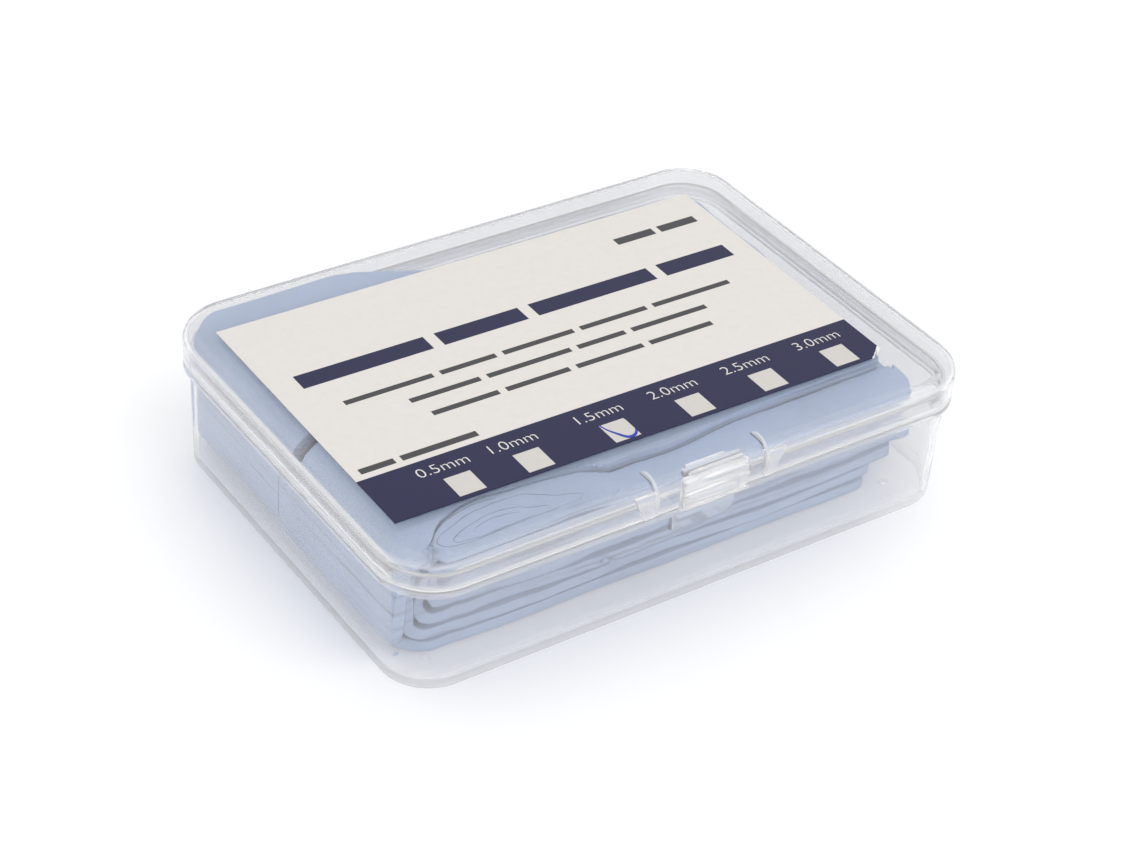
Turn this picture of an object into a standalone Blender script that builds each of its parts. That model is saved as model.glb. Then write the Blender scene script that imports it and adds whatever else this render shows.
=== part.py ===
"""A hinged clear plastic box of folded thermal pad sheets.

The box stands on its bottom face. X runs along its length, with the latch on the -Y side
and the hinge on the +Y side, and Z is up. The origin is the middle of the bottom face.
Lengths are in metres.
"""

import math

import bmesh
import bpy
from mathutils import Matrix, Vector

MM = 0.001

# Box, outer sizes
BOX_LENGTH = 96.0 * MM
BOX_WIDTH = 69.0 * MM
BOX_HEIGHT = 22.9 * MM
CORNER_RADIUS = 8.6 * MM

# Lid
LID_WALL = 1.0 * MM
LID_TOP = 1.2 * MM
LID_TOP_FILLET = 2.0 * MM
SKIRT_DEPTH = 5.3 * MM
LID_GAP = 0.35 * MM
LID_SEAT_GAP = 0.2 * MM

# Base
BASE_INSET = 0.9 * MM
BASE_DRAFT = 0.3 * MM
BASE_WALL = 1.2 * MM
BASE_FLOOR = 1.2 * MM
BASE_FILLET = 1.0 * MM
FLANGE_HEIGHT = 1.0 * MM
RIM_HEIGHT = 2.2 * MM
JOIN = 0.3 * MM

# Finger boss and catch on the front wall of the base
BOSS_WIDTH = 10.8 * MM
BOSS_DROP = 3.4 * MM
BOSS_DEPTH = 0.6 * MM
BOSS_RADIUS = 1.4 * MM
CATCH_WIDTH = 8.0 * MM
CATCH_HEIGHT = 0.8 * MM

# Hinge strip along the back
HINGE_LENGTH = 64.0 * MM
HINGE_OUT = 0.6 * MM
HINGE_UP = 0.1 * MM
HINGE_BEAD_RADIUS = 0.35 * MM
HINGE_WEB = 0.3 * MM

# Latch, hung from the front edge of the lid
LATCH_WIDTH = 12.0 * MM
LATCH_DROP = 4.6 * MM
LATCH_WALL = 1.0 * MM
LATCH_RISE = 0.35 * MM
LATCH_BEAD_RADIUS = 0.4 * MM
LATCH_ROOT_GAP = 0.3 * MM
LATCH_SKIRT_GAP = 0.6 * MM
LATCH_RIB = 0.5 * MM
LATCH_RIB_OUT = 0.4 * MM
LATCH_RIB_SPACINGS = (0.9 * MM, 2.4 * MM, 3.9 * MM)
ROOT_STEP_WIDTHS = (9.2 * MM, 6.6 * MM)
ROOT_STEP_DEPTHS = (1.3 * MM, 1.3 * MM)
ROOT_STEP_RISES = (0.7 * MM, 0.45 * MM)
WINDOW_WIDTH = 9.4 * MM
WINDOW_HEIGHT = 2.4 * MM

# Guard fins beside the latch
FIN_THICKNESS = 1.2 * MM
FIN_SPACING = 18.6 * MM
FIN_RISE = 0.75 * MM
FIN_OUT = 0.85 * MM
FIN_BACK = 3.8 * MM
GUSSET_WIDTH = 3.2 * MM
GUSSET_DROP = 4.6 * MM
GUSSET_DEPTH = 0.4 * MM

# Label
LABEL_LENGTH = 82.0 * MM
LABEL_WIDTH = 50.2 * MM
LABEL_THICKNESS = 0.15 * MM
LABEL_GAP = 0.05 * MM
LABEL_X = -2.9 * MM
LABEL_Y = 0.4 * MM
LABEL_TURN = math.radians(-0.5)

# Folded pad strips, the outermost first
PAD_THICKNESS = 1.5 * MM
PAD_WIDTH = 29.2 * MM
PAD_ROW_GAP = 0.3 * MM
PAD_CLEARANCE = 0.3 * MM
PAD_LOWER_GAP = 0.6 * MM
PAD_HEART_GAP = 2.5 * MM
PAD_FOLD_GAP = 0.4 * MM
PAD_UPPER_BENDS = (3.8 * MM, 3.0 * MM, 2.2 * MM, 1.6 * MM)
PAD_FRONT_LOWER_BENDS = (4.6 * MM, 3.6 * MM, 2.6 * MM, 1.7 * MM)
PAD_BACK_LOWER_BENDS = (5.6 * MM, 4.2 * MM, 3.0 * MM, 1.8 * MM)
PAD_LOWER_ENDS = (36.5 * MM, 37.1 * MM, 41.5 * MM, 44.7 * MM)
PAD_UPPER_ENDS = (37.0 * MM, 43.5 * MM, 40.0 * MM, 38.0 * MM)

# Facet counts of round corners and edges
CORNER_STEPS = 8
FILLET_STEPS = 3
BEND_STEPS = 6
BEAD_SIDES = 12
FIN_STEPS = 8

# Places that follow from the sizes above
SKIRT_BOTTOM = BOX_HEIGHT - SKIRT_DEPTH
FLANGE_TOP = SKIRT_BOTTOM - LID_SEAT_GAP
RIM_TOP = FLANGE_TOP + RIM_HEIGHT
LID_UNDERSIDE = BOX_HEIGHT - LID_TOP
HALF_LENGTH = BOX_LENGTH / 2
HALF_WIDTH = BOX_WIDTH / 2
RIM_INSET = LID_WALL + LID_GAP
CAVITY_INSET = BASE_INSET + BASE_WALL
CAVITY_HALF_LENGTH = HALF_LENGTH - CAVITY_INSET
CAVITY_HALF_WIDTH = HALF_WIDTH - CAVITY_INSET
HINGE_Y = HALF_WIDTH + HINGE_OUT
HINGE_Z = FLANGE_TOP + HINGE_UP
LATCH_BACK_Y = -HALF_WIDTH - LATCH_SKIRT_GAP
LATCH_AXIS_Y = LATCH_BACK_Y + LATCH_BEAD_RADIUS / 2
LATCH_AXIS_Z = BOX_HEIGHT + LATCH_RISE
ROOT_FRONT_Y = LATCH_AXIS_Y + LATCH_BEAD_RADIUS + LATCH_ROOT_GAP

BOX_CLEAR = (0.86, 0.87, 0.89)
PAD_BLUE = (0.42, 0.52, 0.70)
LABEL_WHITE = (0.80, 0.78, 0.75)


def clear_scene():
    """Remove every object that the file holds."""
    for obj in list(bpy.data.objects):
        bpy.data.objects.remove(obj, do_unlink=True)


def new_collection(name, hidden=False):
    """A collection linked to the scene."""
    collection = bpy.data.collections.new(name)
    bpy.context.scene.collection.children.link(collection)
    collection.hide_render = hidden
    return collection


def plain_material(name, colour, roughness, alpha=1.0, metallic=0.0):
    """A Principled material of one colour."""
    material = bpy.data.materials.new(name)
    material.use_nodes = True
    shader = material.node_tree.nodes["Principled BSDF"]
    shader.inputs["Base Color"].default_value = (*colour, 1.0)
    shader.inputs["Roughness"].default_value = roughness
    shader.inputs["Metallic"].default_value = metallic
    shader.inputs["Alpha"].default_value = alpha
    return material


def mesh_object(name, bm, collection, material=None):
    """Turn a bmesh into an object in the collection."""
    bmesh.ops.recalc_face_normals(bm, faces=bm.faces)
    mesh = bpy.data.meshes.new(name)
    bm.to_mesh(mesh)
    bm.free()
    obj = bpy.data.objects.new(name, mesh)
    collection.objects.link(obj)
    if material is not None:
        mesh.materials.append(material)
    return obj


def smooth(obj):
    """Shade the round faces smooth and keep the real edges."""
    obj.data.shade_smooth()
    obj.data.set_sharp_from_angle(angle=math.radians(35))


def cutter(obj):
    """Mark an object as a tool that isn't part of the model."""
    obj.display_type = "WIRE"
    obj.hide_render = True
    return obj


def box_bmesh(low, high):
    """A box between two corners."""
    low, high = Vector(low), Vector(high)
    bm = bmesh.new()
    place = Matrix.Translation((low + high) / 2) @ Matrix.Diagonal((*(high - low), 1.0))
    bmesh.ops.create_cube(bm, size=1.0, matrix=place)
    return bm


def bevel_edges(bm, edges, radius, steps):
    """Round the given edges."""
    bmesh.ops.bevel(
        bm, geom=edges, offset=radius, segments=steps, profile=0.5,
        affect="EDGES", clamp_overlap=True,
    )


def level_edges(bm, height):
    """The edges that lie at one height."""
    near = 1e-6
    return [e for e in bm.edges if all(abs(v.co.z - height) < near for v in e.verts)]


def tray_bmesh(inset, bottom, top, bottom_fillet=0.0, top_fillet=0.0, draft=0.0):
    """A block with round upright corners, set in from the box's outline.

    The draft narrows it toward its bottom by that much on each side.
    """
    half_x, half_y = HALF_LENGTH - inset, HALF_WIDTH - inset
    bm = box_bmesh((-half_x, -half_y, bottom), (half_x, half_y, top))
    upright = [e for e in bm.edges if abs(e.verts[0].co.z - e.verts[1].co.z) > 1e-6]
    bevel_edges(bm, upright, CORNER_RADIUS - inset, CORNER_STEPS)
    if bottom_fillet:
        bevel_edges(bm, level_edges(bm, bottom), bottom_fillet, FILLET_STEPS)
    if top_fillet:
        bevel_edges(bm, level_edges(bm, top), top_fillet, FILLET_STEPS)
    for vert in bm.verts:
        share = draft * (top - vert.co.z) / (top - bottom)
        vert.co.x *= 1.0 - share / half_x
        vert.co.y *= 1.0 - share / half_y
    return bm


def boolean(obj, tool, operation):
    """Cut or join with another object, by the exact solver."""
    modifier = obj.modifiers.new(f"{operation} {tool.name}", "BOOLEAN")
    modifier.operation = operation
    modifier.object = tool
    modifier.solver = "EXACT"


def add_box(obj, tools, name, low, high):
    """Join a box to an object."""
    boolean(obj, cutter(mesh_object(name, box_bmesh(low, high), tools)), "UNION")


def cut_box(obj, tools, name, low, high):
    """Cut a box out of an object."""
    boolean(obj, cutter(mesh_object(name, box_bmesh(low, high), tools)), "DIFFERENCE")


def bead_bmesh(length, radius, centre):
    """A round bar along X."""
    bm = bmesh.new()
    place = Matrix.Translation(centre) @ Matrix.Rotation(math.pi / 2, 4, "Y")
    bmesh.ops.create_cone(
        bm, cap_ends=True, segments=BEAD_SIDES, radius1=radius, radius2=radius,
        depth=length, matrix=place,
    )
    return bm


def build_base(parts, tools, material):
    """The open tray: walls, flange, rim, front boss, catch and hinge strip."""
    base = mesh_object(
        "box_base",
        tray_bmesh(BASE_INSET, 0.0, FLANGE_TOP, bottom_fillet=BASE_FILLET, draft=BASE_DRAFT),
        parts, material,
    )
    flange = tray_bmesh(0.0, FLANGE_TOP - FLANGE_HEIGHT, FLANGE_TOP)
    boolean(base, cutter(mesh_object("flange_tool", flange, tools)), "UNION")
    rim = tray_bmesh(RIM_INSET, FLANGE_TOP - JOIN, RIM_TOP)
    boolean(base, cutter(mesh_object("rim_tool", rim, tools)), "UNION")
    add_finger_boss(base, tools)
    add_catch(base, tools)
    add_hinge_strip(base, tools)
    cavity = tray_bmesh(
        CAVITY_INSET, BASE_FLOOR, RIM_TOP + JOIN, bottom_fillet=BASE_FILLET,
    )
    boolean(base, cutter(mesh_object("cavity_tool", cavity, tools)), "DIFFERENCE")
    smooth(base)
    return base


def add_finger_boss(base, tools):
    """The low pad on the front wall, under the latch, with round lower corners."""
    wall_y = -HALF_WIDTH + BASE_INSET
    top = FLANGE_TOP - FLANGE_HEIGHT + JOIN
    bottom = FLANGE_TOP - FLANGE_HEIGHT - BOSS_DROP
    bm = box_bmesh(
        (-BOSS_WIDTH / 2, wall_y - BOSS_DEPTH, bottom),
        (BOSS_WIDTH / 2, wall_y + BASE_WALL / 2, top),
    )
    corners = [
        e for e in bm.edges
        if abs(e.verts[0].co.y - e.verts[1].co.y) > 1e-6 and e.verts[0].co.z < bottom + 1e-6
    ]
    bevel_edges(bm, corners, BOSS_RADIUS, FILLET_STEPS)
    boolean(base, cutter(mesh_object("boss_tool", bm, tools)), "UNION")


def add_catch(base, tools):
    """The small bar on the rim that looks out of the lid's window."""
    rim_y = -HALF_WIDTH + RIM_INSET
    add_box(
        base, tools, "catch_tool",
        (-CATCH_WIDTH / 2, -HALF_WIDTH, RIM_TOP - CATCH_HEIGHT - JOIN),
        (CATCH_WIDTH / 2, rim_y + JOIN, RIM_TOP - JOIN),
    )


def add_hinge_strip(base, tools):
    """The thin web and bead along the back that the lid turns on."""
    add_box(
        base, tools, "hinge_web_tool",
        (-HINGE_LENGTH / 2, HALF_WIDTH - JOIN, FLANGE_TOP - HINGE_WEB),
        (HINGE_LENGTH / 2, HINGE_Y, FLANGE_TOP),
    )
    bead = bead_bmesh(HINGE_LENGTH, HINGE_BEAD_RADIUS, (0.0, HINGE_Y, HINGE_Z))
    boolean(base, cutter(mesh_object("hinge_bead_tool", bead, tools)), "UNION")


def fin_profile():
    """The fin's outline in (y, z): an arc over the lid's front edge, from back to front."""
    top_z = BOX_HEIGHT + FIN_RISE
    front_y = -HALF_WIDTH - FIN_OUT
    reach_y = FIN_BACK + FIN_OUT
    reach_z = FIN_RISE + SKIRT_DEPTH - JOIN
    low_z = top_z - reach_z
    bend = LID_TOP_FILLET + FIN_OUT
    points = [(front_y + reach_y, BOX_HEIGHT - LID_TOP / 2), (front_y + reach_y, BOX_HEIGHT)]
    points.append((front_y + reach_y - FIN_RISE, top_z))
    for i in range(FIN_STEPS + 1):
        angle = math.pi / 2 * (1 + i / FIN_STEPS)
        points.append((
            front_y + bend * (1 + math.cos(angle)),
            top_z - bend * (1 - math.sin(angle)),
        ))
    points.append((front_y, low_z + bend))
    points.append((-HALF_WIDTH, low_z))
    points.append((-HALF_WIDTH + LID_WALL / 2, low_z))
    points.append((-HALF_WIDTH + LID_WALL / 2, BOX_HEIGHT - LID_TOP / 2 - LID_WALL))
    points.append((-HALF_WIDTH + LID_TOP_FILLET, BOX_HEIGHT - LID_TOP / 2))
    return points


def plate_bmesh(points, low_x, high_x):
    """A flat plate of the given (y, z) outline between two X values."""
    bm = bmesh.new()
    ring = [bm.verts.new((low_x, y, z)) for y, z in points]
    face = bm.faces.new(ring)
    grown = bmesh.ops.extrude_face_region(bm, geom=[face])
    moved = [g for g in grown["geom"] if isinstance(g, bmesh.types.BMVert)]
    bmesh.ops.translate(bm, verts=moved, vec=(high_x - low_x, 0.0, 0.0))
    bmesh.ops.recalc_face_normals(bm, faces=bm.faces)
    return bm


def gusset_bmesh(side):
    """The thin three-cornered web on the skirt, on the outer side of a fin."""
    inner_x = side * (FIN_SPACING / 2 - FIN_THICKNESS / 2)
    outer_x = inner_x + side * (GUSSET_WIDTH + FIN_THICKNESS)
    top = BOX_HEIGHT - LID_TOP_FILLET / 2
    bm = bmesh.new()
    corners = ((inner_x, top), (outer_x, top), (inner_x, top - GUSSET_DROP))
    ring = [bm.verts.new((x, -HALF_WIDTH + LID_WALL / 2, z)) for x, z in corners]
    face = bm.faces.new(ring)
    grown = bmesh.ops.extrude_face_region(bm, geom=[face])
    moved = [g for g in grown["geom"] if isinstance(g, bmesh.types.BMVert)]
    bmesh.ops.translate(bm, verts=moved, vec=(0.0, -LID_WALL / 2 - GUSSET_DEPTH, 0.0))
    return bm


def add_latch_root(lid, tools):
    """The two steps on the lid's front edge that carry the latch."""
    front = ROOT_FRONT_Y
    for step, width in enumerate(ROOT_STEP_WIDTHS):
        back = front + ROOT_STEP_DEPTHS[step]
        add_box(
            lid, tools, f"root_tool_{step + 1}",
            (-width / 2, front, BOX_HEIGHT - LID_TOP),
            (width / 2, back, BOX_HEIGHT + ROOT_STEP_RISES[step]),
        )
        front = back - JOIN


def build_lid(parts, tools, material, pivot):
    """The lid: top, skirt, window behind the latch, root steps and guard fins."""
    lid = mesh_object(
        "box_lid",
        tray_bmesh(0.0, SKIRT_BOTTOM, BOX_HEIGHT, top_fillet=LID_TOP_FILLET),
        parts, material,
    )
    add_latch_root(lid, tools)
    for side, word in ((-1, "left"), (1, "right")):
        middle = side * FIN_SPACING / 2
        fin = plate_bmesh(fin_profile(), middle - FIN_THICKNESS / 2, middle + FIN_THICKNESS / 2)
        boolean(lid, cutter(mesh_object(f"fin_tool_{word}", fin, tools)), "UNION")
        web = cutter(mesh_object(f"gusset_tool_{word}", gusset_bmesh(side), tools))
        boolean(lid, web, "UNION")
    hollow = tray_bmesh(
        LID_WALL, SKIRT_BOTTOM - JOIN, LID_UNDERSIDE, top_fillet=LID_TOP_FILLET - LID_WALL,
    )
    boolean(lid, cutter(mesh_object("hollow_tool", hollow, tools)), "DIFFERENCE")
    cut_box(
        lid, tools, "window_tool",
        (-WINDOW_WIDTH / 2, -HALF_WIDTH - JOIN, SKIRT_BOTTOM - JOIN),
        (WINDOW_WIDTH / 2, -HALF_WIDTH + LID_WALL + JOIN, SKIRT_BOTTOM + WINDOW_HEIGHT),
    )
    smooth(lid)
    hang_from(lid, pivot)
    return lid


def build_latch(parts, tools, material, pivot):
    """The latch plate with its bead and its grip ribs."""
    top = LATCH_AXIS_Z + LATCH_BEAD_RADIUS / 2
    front = LATCH_BACK_Y - LATCH_WALL
    latch = mesh_object(
        "front_latch",
        box_bmesh(
            (-LATCH_WIDTH / 2, front, top - LATCH_DROP),
            (LATCH_WIDTH / 2, LATCH_BACK_Y, top),
        ),
        parts, material,
    )
    width = ROOT_STEP_WIDTHS[0]
    bead = bead_bmesh(width, LATCH_BEAD_RADIUS, (0.0, LATCH_AXIS_Y, LATCH_AXIS_Z))
    boolean(latch, cutter(mesh_object("latch_bead_tool", bead, tools)), "UNION")
    for number, spacing in enumerate(LATCH_RIB_SPACINGS):
        middle = top - spacing
        add_box(
            latch, tools, f"rib_tool_{number + 1}",
            (-LATCH_WIDTH / 2, front - LATCH_RIB_OUT, middle - LATCH_RIB / 2),
            (LATCH_WIDTH / 2, front + LATCH_WALL / 2, middle + LATCH_RIB / 2),
        )
    smooth(latch)
    hang_from(latch, pivot)
    return latch


def build_label(parts, material, lid):
    """The paper label on the lid."""
    low_z = BOX_HEIGHT + LABEL_GAP
    bm = box_bmesh(
        (-LABEL_LENGTH / 2, -LABEL_WIDTH / 2, low_z),
        (LABEL_LENGTH / 2, LABEL_WIDTH / 2, low_z + LABEL_THICKNESS),
    )
    turn = Matrix.Translation((LABEL_X, LABEL_Y, 0.0)) @ Matrix.Rotation(LABEL_TURN, 4, "Z")
    bmesh.ops.transform(bm, matrix=turn, verts=bm.verts)
    label = mesh_object("label_sticker", bm, parts, material)
    hang_from(label, lid)
    return label


def bend_points(centre, radius, start, turn):
    """Points of a quarter bend in the X-Z plane."""
    points = []
    for i in range(BEND_STEPS + 1):
        angle = start + turn * i / BEND_STEPS
        points.append((centre[0] + radius * math.cos(angle), centre[1] + radius * math.sin(angle)))
    return points


def pad_room_bmesh():
    """The space that the strips may fill: the cavity less the clearance at its walls."""
    return tray_bmesh(
        CAVITY_INSET + PAD_CLEARANCE, BASE_FLOOR + PAD_CLEARANCE / 2, BOX_HEIGHT,
        bottom_fillet=BASE_FILLET,
    )


def pad_levels(layer):
    """The heights of a strip's lower and upper legs, at the middle of the sheet.

    The lower legs lie on each other. The upper ones spread evenly from the innermost fold
    to the underside of the lid.
    """
    pitch = PAD_THICKNESS + PAD_LOWER_GAP
    last = len(PAD_UPPER_BENDS) - 1
    lowest = BASE_FLOOR + PAD_CLEARANCE + PAD_THICKNESS / 2
    highest = LID_UNDERSIDE - PAD_CLEARANCE - PAD_THICKNESS / 2
    innermost = lowest + last * pitch + PAD_THICKNESS + PAD_HEART_GAP
    return lowest + layer * pitch, highest - layer * (highest - innermost) / last


def strip_profile(layer, lower_bend):
    """The middle line of one folded strip in (x, z), from its lower end to its upper end."""
    half = PAD_THICKNESS / 2
    lower, upper = pad_levels(layer)
    fold = -CAVITY_HALF_LENGTH + PAD_CLEARANCE + half + layer * (PAD_THICKNESS + PAD_FOLD_GAP)
    upper_bend = PAD_UPPER_BENDS[layer]
    quarter = math.pi / 2
    points = [(PAD_LOWER_ENDS[layer], lower)]
    points += bend_points((fold + lower_bend, lower + lower_bend), lower_bend, -quarter, -quarter)
    points += bend_points(
        (fold + upper_bend, upper - upper_bend), upper_bend, 2 * quarter, -quarter,
    )
    points.append((PAD_UPPER_ENDS[layer], upper))
    return points


def build_strip(name, parts, material, layer, lower_bend, middle_y, room):
    """One pad strip: its middle line drawn out over its width, thickened and kept in the box."""
    bm = bmesh.new()
    profile = strip_profile(layer, lower_bend)
    verts = [bm.verts.new((x, middle_y - PAD_WIDTH / 2, z)) for x, z in profile]
    edges = [bm.edges.new(pair) for pair in zip(verts, verts[1:])]
    grown = bmesh.ops.extrude_edge_only(bm, edges=edges)
    moved = [g for g in grown["geom"] if isinstance(g, bmesh.types.BMVert)]
    bmesh.ops.translate(bm, verts=moved, vec=(0.0, PAD_WIDTH, 0.0))
    strip = mesh_object(name, bm, parts, material)
    thick = strip.modifiers.new("Solidify", "SOLIDIFY")
    thick.thickness = PAD_THICKNESS
    thick.offset = 0.0
    thick.use_even_offset = True
    boolean(strip, room, "INTERSECT")
    smooth(strip)
    return strip


def pivot_empty(name, place, parts, parent=None):
    """An empty on a joint's axis."""
    empty = bpy.data.objects.new(name, None)
    empty.empty_display_size = 5 * MM
    empty.matrix_world = Matrix.Translation(place)
    parts.objects.link(empty)
    if parent is not None:
        hang_from(empty, parent)
    return empty


def hang_from(obj, parent):
    """Parent an object where it stands."""
    bpy.context.view_layer.update()
    obj.parent = parent
    obj.matrix_parent_inverse = parent.matrix_world.inverted()


def main():
    clear_scene()
    parts = new_collection("thermal_pad_box")
    tools = new_collection("cutters", hidden=True)
    clear = plain_material("clear_plastic", BOX_CLEAR, 0.3, alpha=0.35)
    pad = plain_material("pad_silicone", PAD_BLUE, 0.75)
    paper = plain_material("label_paper", LABEL_WHITE, 0.6)

    build_base(parts, tools, clear)
    lid_pivot = pivot_empty("lid_pivot", (0.0, HINGE_Y, HINGE_Z), parts)
    lid = build_lid(parts, tools, clear, lid_pivot)
    latch_pivot = pivot_empty("latch_pivot", (0.0, LATCH_AXIS_Y, LATCH_AXIS_Z), parts, lid)
    build_latch(parts, tools, clear, latch_pivot)
    build_label(parts, paper, lid)

    back_row_y = CAVITY_HALF_WIDTH - PAD_CLEARANCE - PAD_WIDTH / 2
    front_row_y = back_row_y - PAD_WIDTH - PAD_ROW_GAP
    room = cutter(mesh_object("pad_room_tool", pad_room_bmesh(), tools))
    rows = (
        ("front", front_row_y, PAD_FRONT_LOWER_BENDS), ("back", back_row_y, PAD_BACK_LOWER_BENDS),
    )
    for row, middle_y, bends in rows:
        for layer, bend in enumerate(bends):
            name = f"pad_strip_{row}_{layer + 1}"
            build_strip(name, parts, pad, layer, bend, middle_y, room)


main()
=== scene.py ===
import math

import bmesh
import bpy
import numpy as np
from bpy.props import FloatProperty, FloatVectorProperty, PointerProperty
from mathutils import Matrix, Vector


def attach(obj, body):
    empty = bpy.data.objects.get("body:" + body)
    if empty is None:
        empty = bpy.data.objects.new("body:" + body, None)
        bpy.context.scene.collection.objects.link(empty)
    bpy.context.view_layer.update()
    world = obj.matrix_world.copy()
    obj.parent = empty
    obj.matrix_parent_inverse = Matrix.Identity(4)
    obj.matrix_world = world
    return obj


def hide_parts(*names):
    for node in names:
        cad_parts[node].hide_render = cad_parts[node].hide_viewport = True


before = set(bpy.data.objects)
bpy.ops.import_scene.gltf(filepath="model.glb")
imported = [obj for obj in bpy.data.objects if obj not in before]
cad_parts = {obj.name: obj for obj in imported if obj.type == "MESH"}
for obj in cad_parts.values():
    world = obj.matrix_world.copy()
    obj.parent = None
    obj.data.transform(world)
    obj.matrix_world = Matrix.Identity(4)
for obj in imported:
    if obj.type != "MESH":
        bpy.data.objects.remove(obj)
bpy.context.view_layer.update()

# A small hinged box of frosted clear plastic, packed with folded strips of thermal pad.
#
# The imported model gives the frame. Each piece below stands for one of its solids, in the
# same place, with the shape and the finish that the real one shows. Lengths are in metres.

bl_info = {
    "name": "Boxed thermal pads",
    "version": (1, 0, 0),
    "blender": (4, 5, 0),
    "location": "3D View > Sidebar > Pad box",
    "description": "Builds a clear hinged box packed with folded thermal pad strips",
    "category": "Add Mesh",
}

MM = 0.001


class BoxSizes(bpy.types.PropertyGroup):
    """Sizes of the box and its lid."""

    length: FloatProperty(
        name="Length", description="Length of the closed box",
        default=96.0 * MM, unit="LENGTH",
    )
    width: FloatProperty(
        name="Width", description="Width of the closed box, without its latch and hinge",
        default=69.0 * MM, unit="LENGTH",
    )
    height: FloatProperty(
        name="Height", description="Height of the flat top of the lid",
        default=22.9 * MM, unit="LENGTH",
    )
    corner: FloatProperty(
        name="Corner radius", description="Radius of the four upright corners",
        default=8.6 * MM, unit="LENGTH",
    )
    skirt: FloatProperty(
        name="Skirt depth", description="Depth of the lid's side wall",
        default=5.3 * MM, unit="LENGTH",
    )
    lid_wall: FloatProperty(
        name="Lid wall", description="Thickness of the lid's side wall",
        default=1.0 * MM, unit="LENGTH",
    )
    lid_top: FloatProperty(
        name="Lid top", description="Thickness of the lid's top",
        default=1.2 * MM, unit="LENGTH",
    )
    lid_fillet: FloatProperty(
        name="Lid edge radius", description="Radius of the lid's upper edge",
        default=2.0 * MM, unit="LENGTH",
    )
    inset: FloatProperty(
        name="Base inset", description="How far the base's wall stands back from the lid's side",
        default=0.9 * MM, unit="LENGTH",
    )
    wall: FloatProperty(
        name="Base wall", description="Thickness of the base's walls and floor",
        default=1.2 * MM, unit="LENGTH",
    )
    rim: FloatProperty(
        name="Rim height", description="How far the rim stands up inside the lid",
        default=2.2 * MM, unit="LENGTH",
    )


class PadSizes(bpy.types.PropertyGroup):
    """Sizes of the folded pad strips."""

    thickness: FloatProperty(
        name="Thickness", description="Thickness of the pad sheet with its films",
        default=1.7 * MM, unit="LENGTH",
    )
    waviness: FloatProperty(
        name="Waviness", description="How far the sheets swell and dip",
        default=0.16 * MM, unit="LENGTH",
    )


class Finishes(bpy.types.PropertyGroup):
    """Colours of the materials and strength of the light."""

    plastic: FloatVectorProperty(
        name="Plastic", description="Tint of the clear plastic",
        default=(0.905, 0.906, 0.914), subtype="COLOR", min=0.0, max=1.0,
    )
    pad: FloatVectorProperty(
        name="Pad", description="Colour of the silicone pads",
        default=(0.305, 0.388, 0.568), subtype="COLOR", min=0.0, max=1.0,
    )
    paper: FloatVectorProperty(
        name="Paper", description="Colour of the label's bare paper",
        default=(0.69, 0.66, 0.63), subtype="COLOR", min=0.0, max=1.0,
    )
    ink: FloatVectorProperty(
        name="Ink", description="Colour of the label's dark band",
        default=(0.013, 0.013, 0.058), subtype="COLOR", min=0.0, max=1.0,
    )
    floor: FloatVectorProperty(
        name="Floor", description="Colour of the floor",
        default=(0.98, 0.98, 0.98), subtype="COLOR", min=0.0, max=1.0,
    )
    sky: FloatProperty(
        name="Sky", description="Brightness of the even light from all round",
        default=0.92, min=0.0,
    )


# Places that follow from the CAD's sizes, in millimetres. An axis is given by its Y and Z
HINGE_AXIS = (35.1, 17.5)
HINGE_HALF = 32.0
LATCH_AXIS = (-34.9, 23.25)
LATCH_ENDS = (-6.15, 5.0)
FIN_THICKNESS = 0.55
FIN_LEFT, FIN_RIGHT = -9.95, 8.65
FLANGE_TOP = 17.4
FLANGE_HEIGHT = 1.0
RIM_INSET = 1.35
DRAFT = 0.3
BASE_FILLET = 0.5
# Marks of the mould's pins in the floor, by X and Y
PIN_MARKS = ((-40.6, -27.2), (38.8, -26.9), (-40.6, 27.2), (38.8, 26.9))
LAYERS = 4

# Middle line of each folded strip, the outermost first, in millimetres
LOWER_LEGS = (2.25, 4.35, 6.45, 8.55)
UPPER_LEGS = (20.65, 17.95, 15.25, 12.55)
FOLD_MIDDLES = (-44.85, -42.95, -41.05, -39.15)
LOWER_BENDS = {"front": (4.6, 3.6, 2.6, 1.7), "back": (5.6, 4.2, 3.0, 1.8)}
UPPER_BENDS = {"front": (3.8, 3.0, 2.2, 1.6), "back": (3.8, 3.0, 2.2, 1.6)}
LOWER_ENDS = {"front": (36.5, 37.1, 41.5, 44.7), "back": (37.4, 38.2, 40.6, 43.5)}
UPPER_ENDS = {"front": (38.4, 39.4, 40.6, 38.0), "back": (37.6, 42.5, 41.0, 39.0)}
ROW_EDGES = {"front": (-26.6, 2.6), "back": (2.9, 32.1)}


# Meshes

def make_object(name, verts, faces, material=None):
    """A mesh object from point and face arrays."""
    mesh = bpy.data.meshes.new(name)
    mesh.from_pydata(np.asarray(verts).tolist(), [], [list(map(int, f)) for f in faces])
    mesh.update()
    obj = bpy.data.objects.new(name, mesh)
    bpy.context.scene.collection.objects.link(obj)
    if material is not None:
        mesh.materials.append(material)
    return obj


def settle(obj, merge=1e-7, angle=38.0):
    """Merge doubled points, turn the faces outwards and shade the round ones smooth."""
    bm = bmesh.new()
    bm.from_mesh(obj.data)
    bmesh.ops.remove_doubles(bm, verts=bm.verts, dist=merge)
    bmesh.ops.dissolve_degenerate(bm, dist=merge, edges=bm.edges)
    bmesh.ops.recalc_face_normals(bm, faces=bm.faces)
    if bm.calc_volume(signed=True) < 0:
        bmesh.ops.reverse_faces(bm, faces=bm.faces)
    bm.to_mesh(obj.data)
    bm.free()
    obj.data.shade_smooth()
    obj.data.set_sharp_from_angle(angle=math.radians(angle))
    return obj


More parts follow.
